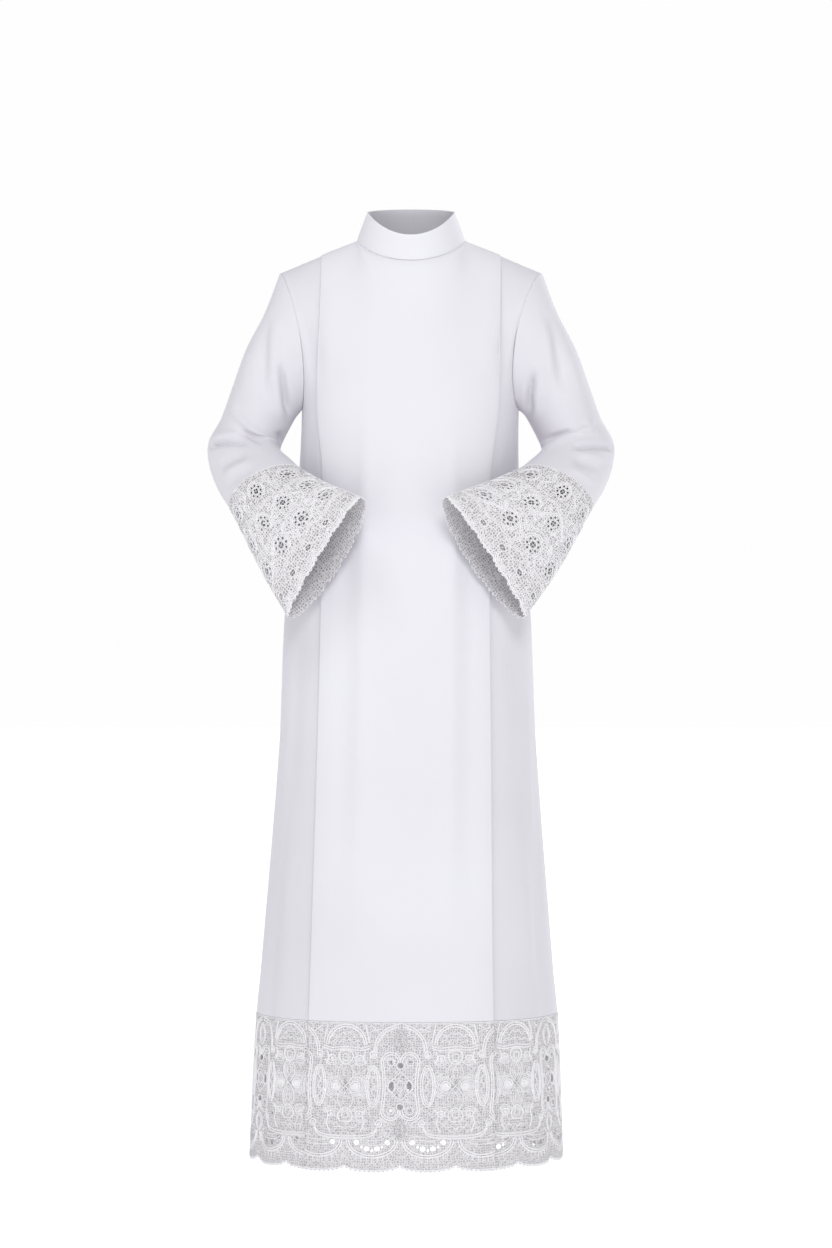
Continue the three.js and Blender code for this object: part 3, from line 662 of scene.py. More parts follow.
# Directions in which the body's outer edge folds in: toward the middle of the armhole, and toward
# the centre at the side seam, with no allowance where one turns into the other
def sideInward(edge, side, bare=4, full=25):
    middle = (heights["underarm"] - shoulder["drop"]) / 2
    radial = np.stack([0 * edge[:, 0], -edge[:, 1], middle - edge[:, 2]], axis=1)
    above = smooth(edge[:, 2], heights["underarm"] + bare, heights["underarm"] + full)
    beside = smooth(-edge[:, 2], bare - heights["underarm"], full - heights["underarm"])
    return unit(radial) * above[:, None] + np.array([-side, 0, 0]) * beside[:, None]


def startOffSeam(grid, gap):
    grid[0] += unit(grid[1] - grid[0]) * gap
    return grid


def makeFront():
    columns, levels = bothSides(pleatColumns(neckShares(), cloth["sideSteps"])), bodyLevels()
    grid = startOffSeam(evened(bodyGrid(-1, columns, levels), columns, levels), 3 * seam)
    grid = creased(grid, bodyCreases[-1])
    grid = allowance(grid, 1, 0, sideInward(grid[:, 0], -1))
    grid = allowance(grid, 1, 1, sideInward(grid[:, -1], 1))
    grid = allowance(grid, 0, 0, np.array([0, 0, -1.0]))
    nodes = ("front", "side_front_left", "side_front_right")
    # painted shade on the side fronts and on the pleats' folds and hidden layers, so the panel reads lighter
    paintedShadeMask = np.pad((columns["across"] > 1) | (columns["under"] > 0), 2, mode="edge")
    piece = clothPiece("frontCloth", grid, cloth["wall"], paintedShadeMask=paintedShadeMask)
    return dress(piece, "crepe", "crepe_cloth", *nodes)


def makeBack(name, node, side):
    columns, levels = oneSide(plainColumns(neckShares(), cloth["sideSteps"]), side), bodyLevels()
    columns["along"] = np.where(columns["across"] == 0, seam, 0)  # off the centre seam
    if side > 0:
        columns = turned(columns)
    grid = startOffSeam(evened(bodyGrid(1, columns, levels), columns, levels), seam)
    grid = creased(grid, bodyCreases[1])
    seamEnd, centreEnd = (0, 1) if side > 0 else (1, 0)
    edge = grid[:, 0 if seamEnd == 0 else -1]
    grid = allowance(grid, 1, seamEnd, sideInward(edge, side))
    grid = allowance(grid, 1, centreEnd, np.array([0, -1.0, 0]))
    grid = allowance(grid, 0, 0, np.array([0, 0, -1.0]))
    return dress(clothPiece(name, grid, cloth["wall"]), "crepe", "crepe_cloth", node)


frontCloth = makeFront()
backLeft = makeBack("backLeftCloth", "back_left", 1)
backRight = makeBack("backRightCloth", "back_right", -1)
print("body cloth made")

collar = {"steps": 120, "rows": 14, "bulge": 2.5, "lip": 0.8, "lipFrom": 0.86, "bevel": 0.35}


def makeCollar():
    turn = np.linspace(-np.pi, np.pi, collar["steps"] + 1)[None, :]
    up = np.linspace(1, 0, collar["rows"])[:, None]
    side = np.where(turn < 0, -1.0, 1.0)
    behind = np.abs(turn) > np.pi / 2
    bend = np.where(behind, np.pi - np.abs(turn), np.abs(turn))
    facing = np.where(behind, 1, -1)
    low = rimPoint(neckSeam, facing, side, bend) + np.array([0, 0, setIn["collar"]])
    high = rimPoint(collarTop, facing, side, bend)
    grid = low + (high - low) * up[..., None]
    bulge = collar["bulge"] * up * (1 - up) + collar["lip"] * smooth(up, collar["lipFrom"], 1)
    grid[..., 0] += side * bulge * np.sin(bend)
    grid[..., 1] += facing * bulge * np.cos(bend)
    # its ends meet at the centre back
    grid[:, 0, 0] -= seam / 3
    grid[:, -1, 0] += seam / 3
    piece = clothPiece("collarBand", grid, cloth["collarWall"])
    bevel = piece.modifiers.new("edge", "BEVEL")
    bevel.width, bevel.segments = collar["bevel"] * mm, 2
    bevel.limit_method, bevel.angle_limit = "ANGLE", 1.0
    applyAll(piece)
    smoothed(piece, 60)
    return dress(piece, "collar", "collar_cloth", "collar")


collarBand = makeCollar()
print("collar made")

sleeve = {"turns": 120, "rowStep": 3.6, "leastRows": 3, "turnUp": 3.0}
sleeveCreases = [
    # right sleeve: from the shoulder down to the elbow's folds and the lace
    crease("front", 10, -6.5, (-213, -100), (-220, -150), (-221, -205), (-217, -255)),
    crease("front", 8, 3, (-205, -110), (-205, -170), (-203, -225)),
    crease("front", 9, 2, (-240, -150), (-247, -195), (-250, -235)),
    crease("front", 5, -10, (-194, -178), (-189, -215), (-182, -268)),
    crease("front", 6, 3.5, (-203, -200), (-197, -240), (-191, -275)),
    crease("front", 5.5, -8, (-196, -280), (-194, -295), (-192, -310)),
    crease("front", 6, 6.5, (-268, -222), (-262, -256), (-240, -280), (-214, -296), (-186, -312),
           ends=(0.3, 0.12)),
    crease("front", 5, -6, (-256, -280), (-236, -292), (-212, -305)),
    crease("front", 4.5, -8.5, (-304, -305), (-280, -301), (-258, -300), (-238, -305), ends=(0.1, 0.3)),
    crease("front", 6, 3.5, (-300, -292), (-270, -289), (-250, -288)),
    crease("front", 7, -4.5, (-288, -338), (-264, -326), (-240, -320)),
    crease("front", 6, 3.5, (-284, -353), (-258, -338), (-232, -328)),
    crease("front", 7, -3.5, (-278, -371), (-256, -352), (-228, -339)),
    # left sleeve
    crease("front", 10, -6.5, (203, -95), (216, -140), (224, -190), (227, -238)),
    crease("front", 8, 3, (199, -110), (204, -160), (206, -215)),
    crease("front", 9, 2, (240, -160), (250, -210), (254, -240)),
    crease("front", 5.5, -10, (183, -188), (176, -232), (178, -268)),
    crease("front", 6, 2.5, (192, -205), (187, -240), (187, -272)),
    crease("front", 6, 6.5, (270, -262), (264, -280), (240, -290), (214, -299), (186, -313),
           ends=(0.15, 0.12)),
    crease("front", 4.5, -5, (248, -282), (226, -289), (200, -299)),
    crease("front", 4.5, -8.5, (304, -310), (284, -308), (262, -308), (236, -309), ends=(0.1, 0.3)),
    crease("front", 6, 3.4, (298, -326), (274, -322), (246, -320)),
    crease("front", 7, -4.5, (288, -344), (262, -334), (236, -326)),
    crease("front", 6, 3.2, (280, -364), (254, -350), (230, -338)),
]
for way in (-1, 1):
    sleeveCreases += [
        crease("back", 11, -4, (way * 204, -110), (way * 222, -170), (way * 236, -230)),
        crease("back", 8, 3, (way * 190, -150), (way * 200, -210), (way * 206, -262)),
        crease("back", 6, -4, (way * 298, -296), (way * 268, -290), (way * 240, -284)),
        crease("back", 7, 2.5, (way * 292, -318), (way * 262, -314), (way * 232, -312)),
        crease("back", 7, -3, (way * 284, -352), (way * 262, -340), (way * 236, -330)),
        crease("back", 8, -3, (way * 252, -180), (way * 266, -236), (way * 276, -280)),
    ]


def ringList(side):
    def placed(point):
        x, y, z = point
        share = smooth(-y, -sleeveDrift["from"], -sleeveDrift["to"])
        return np.array([side * x + sleeveDrift["across"] * share, y, z], float)

    rings = []
    for row in sleeveForm:
        outer, inner = placed(row["outer"]), placed(row["inner"])
        rings.append({"centre": (outer + inner) / 2, "reach": (outer - inner) / 2,
                      "forward": row["front"], "back": row["back"]})
    for i, ring in enumerate(rings):
        path = rings[min(i + 1, len(rings) - 1)]["centre"] - rings[max(i - 1, 0)]["centre"]
        ring["front"] = unit(np.cross(path, ring["reach"])) * side
    return rings


# All rings of a sleeve and its bell as a table of points, for turns from the outer point forward
def sleeveTable(side, turn):
    low = np.where(turn <= np.pi, turn, 2 * np.pi - turn)
    first = armholePoint(np.where(turn <= np.pi, -1, 1), side, low)
    first[:, 0] += side * setIn["sleeve"]
    table = [first]
    for ring in ringList(side):
        s = np.sin(turn)[:, None]
        bulge = np.where(s > 0, ring["forward"], ring["back"]) * s
        table.append(ring["centre"] + ring["reach"] * np.cos(turn)[:, None] + ring["front"] * bulge)
    return np.array(table)


# Points between rings, on a smooth curve through them. at counts rings, with parts of one.
def betweenRings(table, at):
    last = len(table) - 1
    i = np.clip(np.floor(at).astype(int), 0, last - 1)
    t = (at - i)[:, None, None]
    a, b = table[i], table[i + 1]
    before, after = table[np.maximum(i - 1, 0)], table[np.minimum(i + 2, last)]
    m0 = np.where((i > 0)[:, None, None], (b - before) / 2, b - a)
    m1 = np.where((i < last - 1)[:, None, None], (after - a) / 2, b - a)
    return eased(t, a, b, m0, m1)


def makeSleeve(name, node, side):
    turn = np.arange(sleeve["turns"]) / sleeve["turns"] * 2 * np.pi
    table = sleeveTable(side, turn)
    lengths = gaps(table)[:clothRings].mean(axis=1)
    steps = [max(sleeve["leastRows"], round(length / sleeve["rowStep"])) for length in lengths]
    at = np.concatenate([k + np.arange(n) / n for k, n in enumerate(steps)] + [[clothRings]])
    grid = betweenRings(table, at)
    if side > 0:
        grid = grid[:, ::-1]
    grid = creased(grid, sleeveCreases, closed=True)
    middle = grid[0].mean(axis=0)
    grid = allowance(grid, 0, 0, unit(middle - grid[0]))
    middle = grid[-1].mean(axis=0)
    grid = allowance(grid, 0, 1, unit(middle - grid[-1]), along=sleeve["turnUp"])
    piece = clothPiece(name, grid, cloth["wall"], closed=True)
    return dress(piece, "crepe", "crepe_cloth", node)


sleeveLeft = makeSleeve("sleeveLeftCloth", "sleeve_left", 1)
sleeveRight = makeSleeve("sleeveRightCloth", "sleeve_right", -1)
print("sleeves made")

# Lace. A band is drawn flat in millimetres, s along it and d down from its upper edge, and laid on
# a surface given as a grid of points with the s of its columns and the d of its rows.
lace = {
    "wall": 0.6, "cell": 5.0, "apart": 0.7, "margin": 1.5, "longest": 12, "holeSides": 12,  # net
    "step": 2.6, "dotSteps": 9,  # millimetres between a cord's points, and points a turn of a dot
    "proud": 0.5, "clear": 0.6, "top": 0.3, "past": 0.5,  # cords off the net, and where they are cut
    "binding": (0.9, 0.8),  # from the band's top and sides to the cords that bind it
    "heavy": 1.15, "fine": 0.75, "edge": 1.0, "bar": 0.35,  # radii of the cords
}
laceKinds = {
    "hem_lace": {"ground": "hemGround", "cords": 1},
    "cuff_lace": {"ground": "cuffGround", "cords": 0.75},
}
picot = {"pitch": 6.75, "out": 2.3, "wide": 2.4, "points": 6, "sunk": 0.4, "bend": (1.3, -0.3), "tip": 0.2}
hem = {
    "repeat": 162.0, "depth": 216.0, "scallop": 81.0, "scallopDepth": 9.0,
    "rowStep": 6.0, "panelSteps": 26, "sideSteps": 26, "backPanelSteps": 24, "backSideSteps": 30,
    "foldMargin": 10, "sideMargin": 8, "foldEnd": 1.06,  # where no hole is cut
}
cuff = {"scallops": 6, "scallopDepth": 4.0, "columns": 90, "rowStep": 5.0, "leastRows": 12}


# Lays a band's flat points on its surface, with the normals there
def bandSurface(grid, along, down):
    normals = gridNormals(grid)

    def place(points):
        s, d = points[:, 0], points[:, 1]
        i = np.clip(np.searchsorted(down, d) - 1, 0, len(down) - 2)
        j = np.clip(np.searchsorted(along, s) - 1, 0, len(along) - 2)
        u = np.clip((d - down[i]) / (down[i + 1] - down[i]), -1, 2)[:, None]
        v = np.clip((s - along[j]) / (along[j + 1] - along[j]), 0, 1)[:, None]

        def mixed(table):
            upper = table[i, j] * (1 - v) + table[i, j + 1] * v
            return upper * (1 - u) + (table[i + 1, j] * (1 - v) + table[i + 1, j + 1] * v) * u

        return mixed(grid), unit(mixed(normals))

    return place


def ellipse(x, d, wide, high, start=0, end=360):
    steps = max(8, int(math.radians(abs(end - start)) * max(wide, high) / lace["step"]))
    turn = np.radians(np.linspace(start, end, steps + 1))
    return np.stack([x + wide * np.cos(turn), d + high * np.sin(turn)], axis=1)


def almond(x, d, wide, high):
    t = np.linspace(-1, 1, max(8, int(high / lace["step"])) + 1)
    half = np.stack([wide / 2 * (1 - t * t), high / 2 * t], axis=1)
    return np.concatenate([half, (half * (-1, 1))[::-1]]) + (x, d)


def line(*ends):
    ends = np.array(ends, float).reshape(-1, 2)
    parts = [np.linspace(a, b, max(2, int(np.linalg.norm(b - a) / lace["step"])) + 1)
             for a, b in zip(ends[:-1], ends[1:])]
    return np.concatenate([parts[0]] + [part[1:] for part in parts[1:]])


def bent(*points):
    points = np.array(points, float)
    at = np.linspace(0, len(points) - 1, max(3, int(gaps(points).sum() / lace["step"])) + 1)
    return betweenRings(points[:, None, :], at)[:, 0]


# A solid stitched dot: its thread winds in to the middle
def dot(x, d, radius, pitch=1.5):
    turns = radius / pitch
    turn = np.linspace(0, turns * 2 * np.pi, int(turns * lace["dotSteps"]) + 2)
    reach = radius - pitch * turn / (2 * np.pi)
    return np.stack([x + reach * np.cos(turn), d + reach * np.sin(turn)], axis=1)


# The hem's repeat is drawn as half of it, from a medallion's middle at 0 to a flower's middle, and
# mirrored. Each motif gives heavy cords, fine ones, and holes as a middle with two half widths.
flowerAt, scallopAt = hem["repeat"] / 2, hem["repeat"] / 4


# Four lobes, with a lattice and eyelets
def medallion():
    heavy, fine = [], []
    for inset in (0, 3.2):
        reach = 14 - inset
        heavy += [ellipse(14, 57, reach, reach, 180, 360), ellipse(14, 127, reach, reach, 0, 180)]
        heavy.append(bent((28 - inset, 57), (25 - inset, 92), (28 - inset, 127)))
    fine += [line(0, 71, 22, 93), line(22, 91, 0, 113), line(0, 83, 9, 92), line(9, 92, 0, 101)]
    fine += [line(22, 79, 15, 86), line(15, 98, 22, 105), ellipse(14, 57, 5.5, 5.5)]
    fine += [ellipse(14, 127, 5.5, 5.5), ellipse(13, 92, 5, 8.8)]
    fine += [ellipse(0, 62, 6, 5.5), ellipse(0, 122, 6, 5.5)]
    holes = [(13, 92, 3.5, 7), (0, 62, 4.5, 4), (0, 122, 4.5, 4), (14, 57, 1.8, 1.8), (14, 127, 1.8, 1.8)]
    return heavy, fine, holes + [(5, 78, 1.6, 1.6), (5, 106, 1.6, 1.6)]


# The long oval beside the medallion with its wavy vein, and leaves above and below the medallion
def ovalAndLeaves():
    heavy = [ellipse(40, 92, 10.5, 29.5), ellipse(40, 92, 7.3, 26)]
    fine = [bent((40, 68), (37.5, 76), (42.5, 84), (37.5, 92), (42.5, 100), (37.5, 108), (40, 116))]
    for at, wide, high in ((27, 19, 32), (155, 17, 28)):
        heavy.append(almond(0, at, wide, high))
        fine += [almond(0, at, wide * 0.62, high * 0.72), line(0, at - high * 0.3, 0, at + high * 0.3)]
    return heavy, fine, []


# The double arch over the medallion with a curl at its foot, and the arch over the flower
def arches():
    heavy = []
    for inset in (0, 3.5):
        heavy.append(ellipse(0, 42, 39 - inset, 39 - inset, 275, 362))
        heavy.append(ellipse(flowerAt, 33, 31 - inset, 30 - inset, 180, 270))
    heavy += [ellipse(40, 47, 5, 5), dot(40, 47, 3), line(46, 30, 52, 3)]
    fine = [bent((57, 22), (63, 17), (69, 21), (75, 15), (flowerAt, 18)), line(30, 14, 45, 4)]
    fine += [bent((58, 30), (64, 26), (70, 29), (76, 25), (flowerAt, 27)), bent((26, 9), (34, 10), (44, 14))]
    return heavy, fine, []


# Cords along the band, with curls where they end
def runningCords():
    heavy = []
    for below in (0, 3.6):
        heavy.append(bent((46, 34 + below), (58, 37 + below), (70, 36 + below), (flowerAt, 35 + below)))
        heavy.append(bent((33, 150 + below), (40, 159 + below), (54, 163 + below), (flowerAt, 164 + below)))
    heavy += [ellipse(31, 146, 4.5, 5), dot(31, 146, 2.6), bent((52, 42), (54, 52), (50, 60))]
    heavy += [bent((50, 124), (55, 134), (53, 146), (58, 158)), bent((16, 146), (24, 141), (30, 136))]
    return heavy, [], []


# Two upright leaves, dots with fans round them, and a bud above and below
def flower():
    heavy, fine = [], []
    for at in (73, 111):
        heavy.append(almond(flowerAt, at, 23, 37))
        fine += [almond(flowerAt, at, 15, 29), almond(flowerAt, at, 7, 21)]
    heavy += [ellipse(66, 92, 7, 7), dot(66, 92, 5.4)]
    fine += [ellipse(66, 92, r, r, 70, 290) for r in (10, 13)]
    fine += [ellipse(64, 92, r, r, 100, 260) for r in (14, 17)]
    cup = ((flowerAt, -9), (73, -8), (70, 0), (75, 8), (flowerAt, 11))
    for at, way in ((50, 1), (134, -1)):
        heavy.append(bent(*((x, at + way * d) for x, d in cup)))
        fine.append(ellipse(flowerAt, at, 5, 4.5, 90, 270))
        fine.append(bent((75, at + way * 3), (78, at + way * 7), (flowerAt, at + way * 6)))
        heavy += [ellipse(60, at + way * 2, 5.5, 4.4), dot(60, at + way * 2, 2.4)]
        start, end = (20, 170) if way > 0 else (190, 340)
        fine += [ellipse(60, at + way * 2, r, r * 0.85, start, end) for r in (8.5, 11.5)]
    fine += [bent((63, 147), (68, 152), (74, 150), (flowerAt, 154)), bent((12, 168), (22, 163), (32, 166))]
    holes = [(flowerAt, 92, 3.5, 7.5), (68, 157, 1.6, 1.6), (46, 140, 1.8, 1.8)]
    return heavy, fine, holes + [(49, 72, 1.6, 1.6), (49, 112, 1.6, 1.6)]


# Two arcs with eyelets inside them, and bars out to the edge
def scallop():
    heavy = [ellipse(scallopAt, 170, 37, 25, 0, 180), ellipse(scallopAt, 170, 33.5, 21.5, 0, 180)]
    fine = [ellipse(scallopAt, 170, 26, 7, 5, 175), ellipse(scallopAt, 168, 17, 2.5, 10, 170)]
    for turn in range(7, 180, 12):
        c, s = math.cos(math.radians(turn)), math.sin(math.radians(turn))
        fine.append(line(scallopAt + 37.5 * c, 170 + 26 * s, scallopAt + 40 * c, 170 + 33 * s))
    holes = [(x, d, 4.2, 3.5) for x, d in ((18, 173), (33, 182), (48, 182), (63, 173))]
    return heavy, fine, holes + [(scallopAt, 184.5, 1.8, 2.6), (25.6, 179.5, 1.9, 2), (55.4, 179.5, 1.9, 2)]


def hemHalf():
    motifs = [medallion(), ovalAndLeaves(), arches(), runningCords(), flower(), scallop()]
    return [sum(parts, []) for parts in zip(*motifs)]


# How far the edge rises from the lowest point of a scallop. share counts scallops along the band.
def edgeArc(share, deep):
    return deep * (1 - np.sqrt(np.maximum(1 - (2 * (share % 1) - 1) ** 2, 0)))


def loopEdges(first, count):
    return [(first + i, first + (i + 1) % count) for i in range(count)]


# A band's flat net: points, and the faces that fill its outline and leave its holes out
def flatNet(length, low, outline, columns, holes, onRim=1.01):
    margin = lace["margin"]
    sides = [line(0, outline(0), 0, 0)[1:-1], line(length, 0, length, outline(length))[1:-1]]
    scallops = np.stack([low, outline(low)], axis=1)[::-1]
    outer = np.concatenate([scallops, sides[0], line(0, 0, length, 0), sides[1]])
    columns = np.unique(np.concatenate([columns, np.arange(0, length, lace["cell"])]))
    columns = columns[np.concatenate([[True], np.diff(columns) > lace["apart"]])]
    rows = np.arange(2 * margin, outline(low).max(), lace["cell"])
    inner = np.stack(np.meshgrid(columns, rows), axis=-1).reshape(-1, 2)
    s, d = inner.T
    fits = (s > margin) & (s < length - margin) & (d < outline(s) - margin)
    for x, y, a, b in holes:
        fits &= ((s - x) / (a + 1)) ** 2 + ((d - y) / (b + 1)) ** 2 > 1
    points, edges = [*outer, *inner[fits]], loopEdges(0, len(outer))
    turn = np.arange(lace["holeSides"]) / lace["holeSides"] * 2 * np.pi
    for x, y, a, b in holes:
        edges += loopEdges(len(points), lace["holeSides"])
        points += list(np.stack([x + a * np.cos(turn), y + b * np.sin(turn)], axis=1))
    made, _, faces = delaunay_2d_cdt([tuple(map(float, p)) for p in points], edges, [], 1, 1e-4, False)[:3]
    flat = np.array([tuple(p) for p in made])
    faces = np.array([tuple(face) for face in faces])
    # flat slivers along the edge go, and faces with all corners in a hole or on its rim
    corners = flat[faces]
    centre = corners.mean(axis=1)
    longest = np.linalg.norm(corners - np.roll(corners, 1, axis=1), axis=2).max(axis=1)
    kept = (centre[:, 1] < outline(centre[:, 0])) & (longest < lace["longest"])
    for x, y, a, b in holes:
        near = np.flatnonzero(np.abs(centre[:, 0] - x) < a)
        reach = ((corners[near, :, 0] - x) / a) ** 2 + ((corners[near, :, 1] - y) / b) ** 2
        kept[near] &= reach.max(axis=1) > onRim
    return flat, faces[kept]


# The loops of thread that stand along a band's scallops
def picotLoops(length, edge):
    loops = []
    side, rise = picot["bend"]
    for s in np.arange(picot["pitch"] / 2, length - 2, picot["pitch"]):
        top, foot = edge(s), edge(s) - picot["out"] - picot["sunk"]
        loops.append(bent((s - picot["wide"], foot), (s - side, top + rise), (s, top + picot["tip"]),
                          (s + side, top + rise), (s + picot["wide"], foot)))
    return loops


# One band: a net sheet with its holes, and tubes for its cords, each a piece of its own. edge
# gives the d of the scallops, and a hole is its middle with two half widths.
def laceBand(name, node, slot, surface, length, edge, heavy, fine, holes, bars=()):
    def outline(s):
        return edge(s) + picot["out"] * np.sqrt(np.abs(np.sin(np.pi * s / picot["pitch"]))) - picot["out"]

    low = np.linspace(0, length, int(length / (picot["pitch"] / picot["points"])) + 1)
    flat, faces = flatNet(length, low, outline, surface["along"], holes)
    net = bpy.data.meshes.new(name)
    net.from_pydata((surface["place"](flat)[0] * mm).tolist(), [], faces.tolist())
    piece = bpy.data.objects.new(name, net)
    bpy.context.collection.objects.link(piece)
    # the mesh of the net has the same size where the band is narrower
    flat[:, 0] = (flat[:, 0] - length / 2) * surface["spread"](flat[:, 1])
    corners = np.empty(len(net.loops), np.int32)
    net.loops.foreach_get("vertex_index", corners)
    net.uv_layers.new(name="flat").data.foreach_set("uv", (flat[corners] * mm).ravel())
    solidify(piece, lace["wall"])
    smoothed(piece)
    dress(piece, laceKinds[slot]["ground"], slot, node)
    # cords that bind the net's upper edge, its sides and the foot of its picots
    top, beside = lace["binding"]
    bound = [line(1, top, length - 1, top)]
    bound += [line(s, 1, s, edge(s)) for s in (beside, length - beside)]
    foot = np.stack([low[::2], edge(low[::2]) - picot["out"] - picot["sunk"]], axis=1)
    thick, thin = (lace[size] * laceKinds[slot]["cords"] for size in ("heavy", "fine"))
    groups = [(heavy, thick), (fine + bound, thin), (picotLoops(length, edge), lace["fine"])]
    groups += [([foot], lace["edge"]), (bars, lace["bar"])]
    cords = cordPiece(name + "Cords", surface["place"], groups, length, edge)
    return piece, dress(cords, "cord", slot)


# Tubes along paths on a surface, standing a little proud of it and cut off at its ends
def cordPiece(name, place, groups, length, edge):
    bpy.ops.curve.primitive_bezier_curve_add()
    piece = bpy.context.object
    piece.name = piece.data.name = name
    shape = piece.data
    shape.splines.clear()
    shape.dimensions, shape.bevel_depth, shape.bevel_resolution = "3D", mm, 0
    shape.use_fill_caps = True
    for paths, radius in groups:
        for path in paths:
            inside = (path[:, 0] > lace["clear"]) & (path[:, 0] < length - lace["clear"])
            inside &= (path[:, 1] > lace["top"]) & (path[:, 1] < edge(path[:, 0]) + lace["past"])
            cuts = np.flatnonzero(np.diff(inside.astype(int))) + 1
            for run, kept in zip(np.split(path, cuts), np.split(inside, cuts)):
                if len(run) < 2 or not kept[0]:
                    continue
                spots, normals = place(run)
                spots = (spots + normals * lace["proud"]) * mm
                spline = shape.splines.new("POLY")
                spline.points.add(len(run) - 1)
                spline.points.foreach_set("co", np.column_stack([spots, np.ones(len(run))]).ravel())
                spline.points.foreach_set("radius", np.full(len(run), radius))
    selectOnly(piece)
    bpy.ops.object.convert(target="MESH")
    smoothed(bpy.context.object, 80)
    return bpy.context.object


# The hem's bands share one pattern, which is centred on the panel and runs on from the front band
# into the back one
def makeHemLace(name, node, facing, columns, start=None):
    rows = np.arange(0, hem["depth"] + 2 * hem["rowStep"], hem["rowStep"])
    levels = heights["laceTop"] - seam - heights["underarm"] - rows
    grid = creased(bodyGrid(facing, columns, levels), bodyCreases[facing])
    along = running(gaps(grid[len(rows) // 2]))
    length = along[-1]
    start = -along[len(along) // 2] if start is None else start
    # no hole lies where a pleat's layers lie on each other
    across, under, reach = columns["across"], columns["under"], pleat["depth"] + hem["foldMargin"]
    inside = 1 - reach / column("panel", np.array(heights["laceTop"]))
    over = (under == 0) & (across > inside) & (across <= 1) & (columns["lift"] > 0)
    layered = over | (under > 0) & (across <= hem["foldEnd"])
    half, heavy, fine, holes = hem["repeat"] / 2, [], [], {}
    heavyHalf, fineHalf, holesHalf = hemHalf()
    for number in range(math.floor(start / half) - 1, math.ceil((start + length) / half) + 1):
        way = 1 if number % 2 == 0 else -1
        origin = (number if way > 0 else number + 1) * half - start
        heavy += [path * (way, 1) + (origin, 0) for path in heavyHalf]
        fine += [path * (way, 1) + (origin, 0) for path in fineHalf]
        for x, d, a, b in holesHalf:
            x = origin + way * x
            spot = np.clip(np.searchsorted(along, x), 0, len(along) - 1)
            if hem["sideMargin"] < x < length - hem["sideMargin"] and not layered[spot]:
                holes[(round(x, 1), round(d, 1))] = (x, d, a, b)

    def edge(s):
        return hem["depth"] - edgeArc((start + s) / hem["scallop"], hem["scallopDepth"])

    surface = {"along": along, "place": bandSurface(grid, along, rows), "spread": np.ones_like}
    pieces = laceBand(name, node, "hem_lace", surface, length, edge, heavy, fine, list(holes.values()))
    return (*pieces, length, start + length)


frontLace = bothSides(pleatColumns(evenShares(hem["panelSteps"]), hem["sideSteps"]))
hemFront, hemFrontCords, frontRun, frontEnd = makeHemLace("hemLaceFront", "hem_lace_front", -1, frontLace)
backLace = turned(bothSides(plainColumns(evenShares(hem["backPanelSteps"]), hem["backSideSteps"])))
hemBack, hemBackCords, backRun, _ = makeHemLace("hemLaceBack", "hem_lace_back", 1, backLace, frontEnd)
print("hem lace made")


# Rows of large holes on half a cuff: their share of its depth, their number and their half widths
cuffRows = ((0.16, 3, 4.5, 4.5), (0.42, 4, 4.5, 4.5), (0.66, 4, 4.5, 4.5), (0.87, 5, 4.5, 3.5))
rosetteForm = {
    "petals": 8, "turn": 20, "out": 5.2, "petal": 2.8, "eyelet": 2.0,
    "ring": 1.4, "barEnd": 1.0, "barTurn": 25, "arcs": ((9.6, 160, 440), (12.2, 175, 420)),
}
scroll = {"half": 9, "radii": (8.8, 6.4), "eye": 3, "leaf": (11, 15), "leafSize": (6, 15), "bud": 23}
garland = {"threads": (0, 2.6, 5.2), "swing": 3.5}
scallopArcs = {"up": 15, "high": 12.5, "heavy": (1.0, 0.8), "fine": (0.6, 0.4)}


# A ring round a large hole with petals, each with its eyelet, and two arcs of cord
def rosette(s, d, a, b):
    form = rosetteForm
    heavy = [ellipse(s, d, a + out, b + out, start, end) for out, start, end in form["arcs"]]
    fine, holes = [], []
    for turn in np.radians(np.arange(0, 360, 360 / form["petals"]) + form["turn"]):
        x, y = s + (a + form["out"]) * math.cos(turn), d + (b + form["out"]) * math.sin(turn)
        fine.append(ellipse(x, y, form["petal"], form["petal"]))
        holes.append((x, y, form["eyelet"], form["eyelet"]))
    return heavy, fine, holes


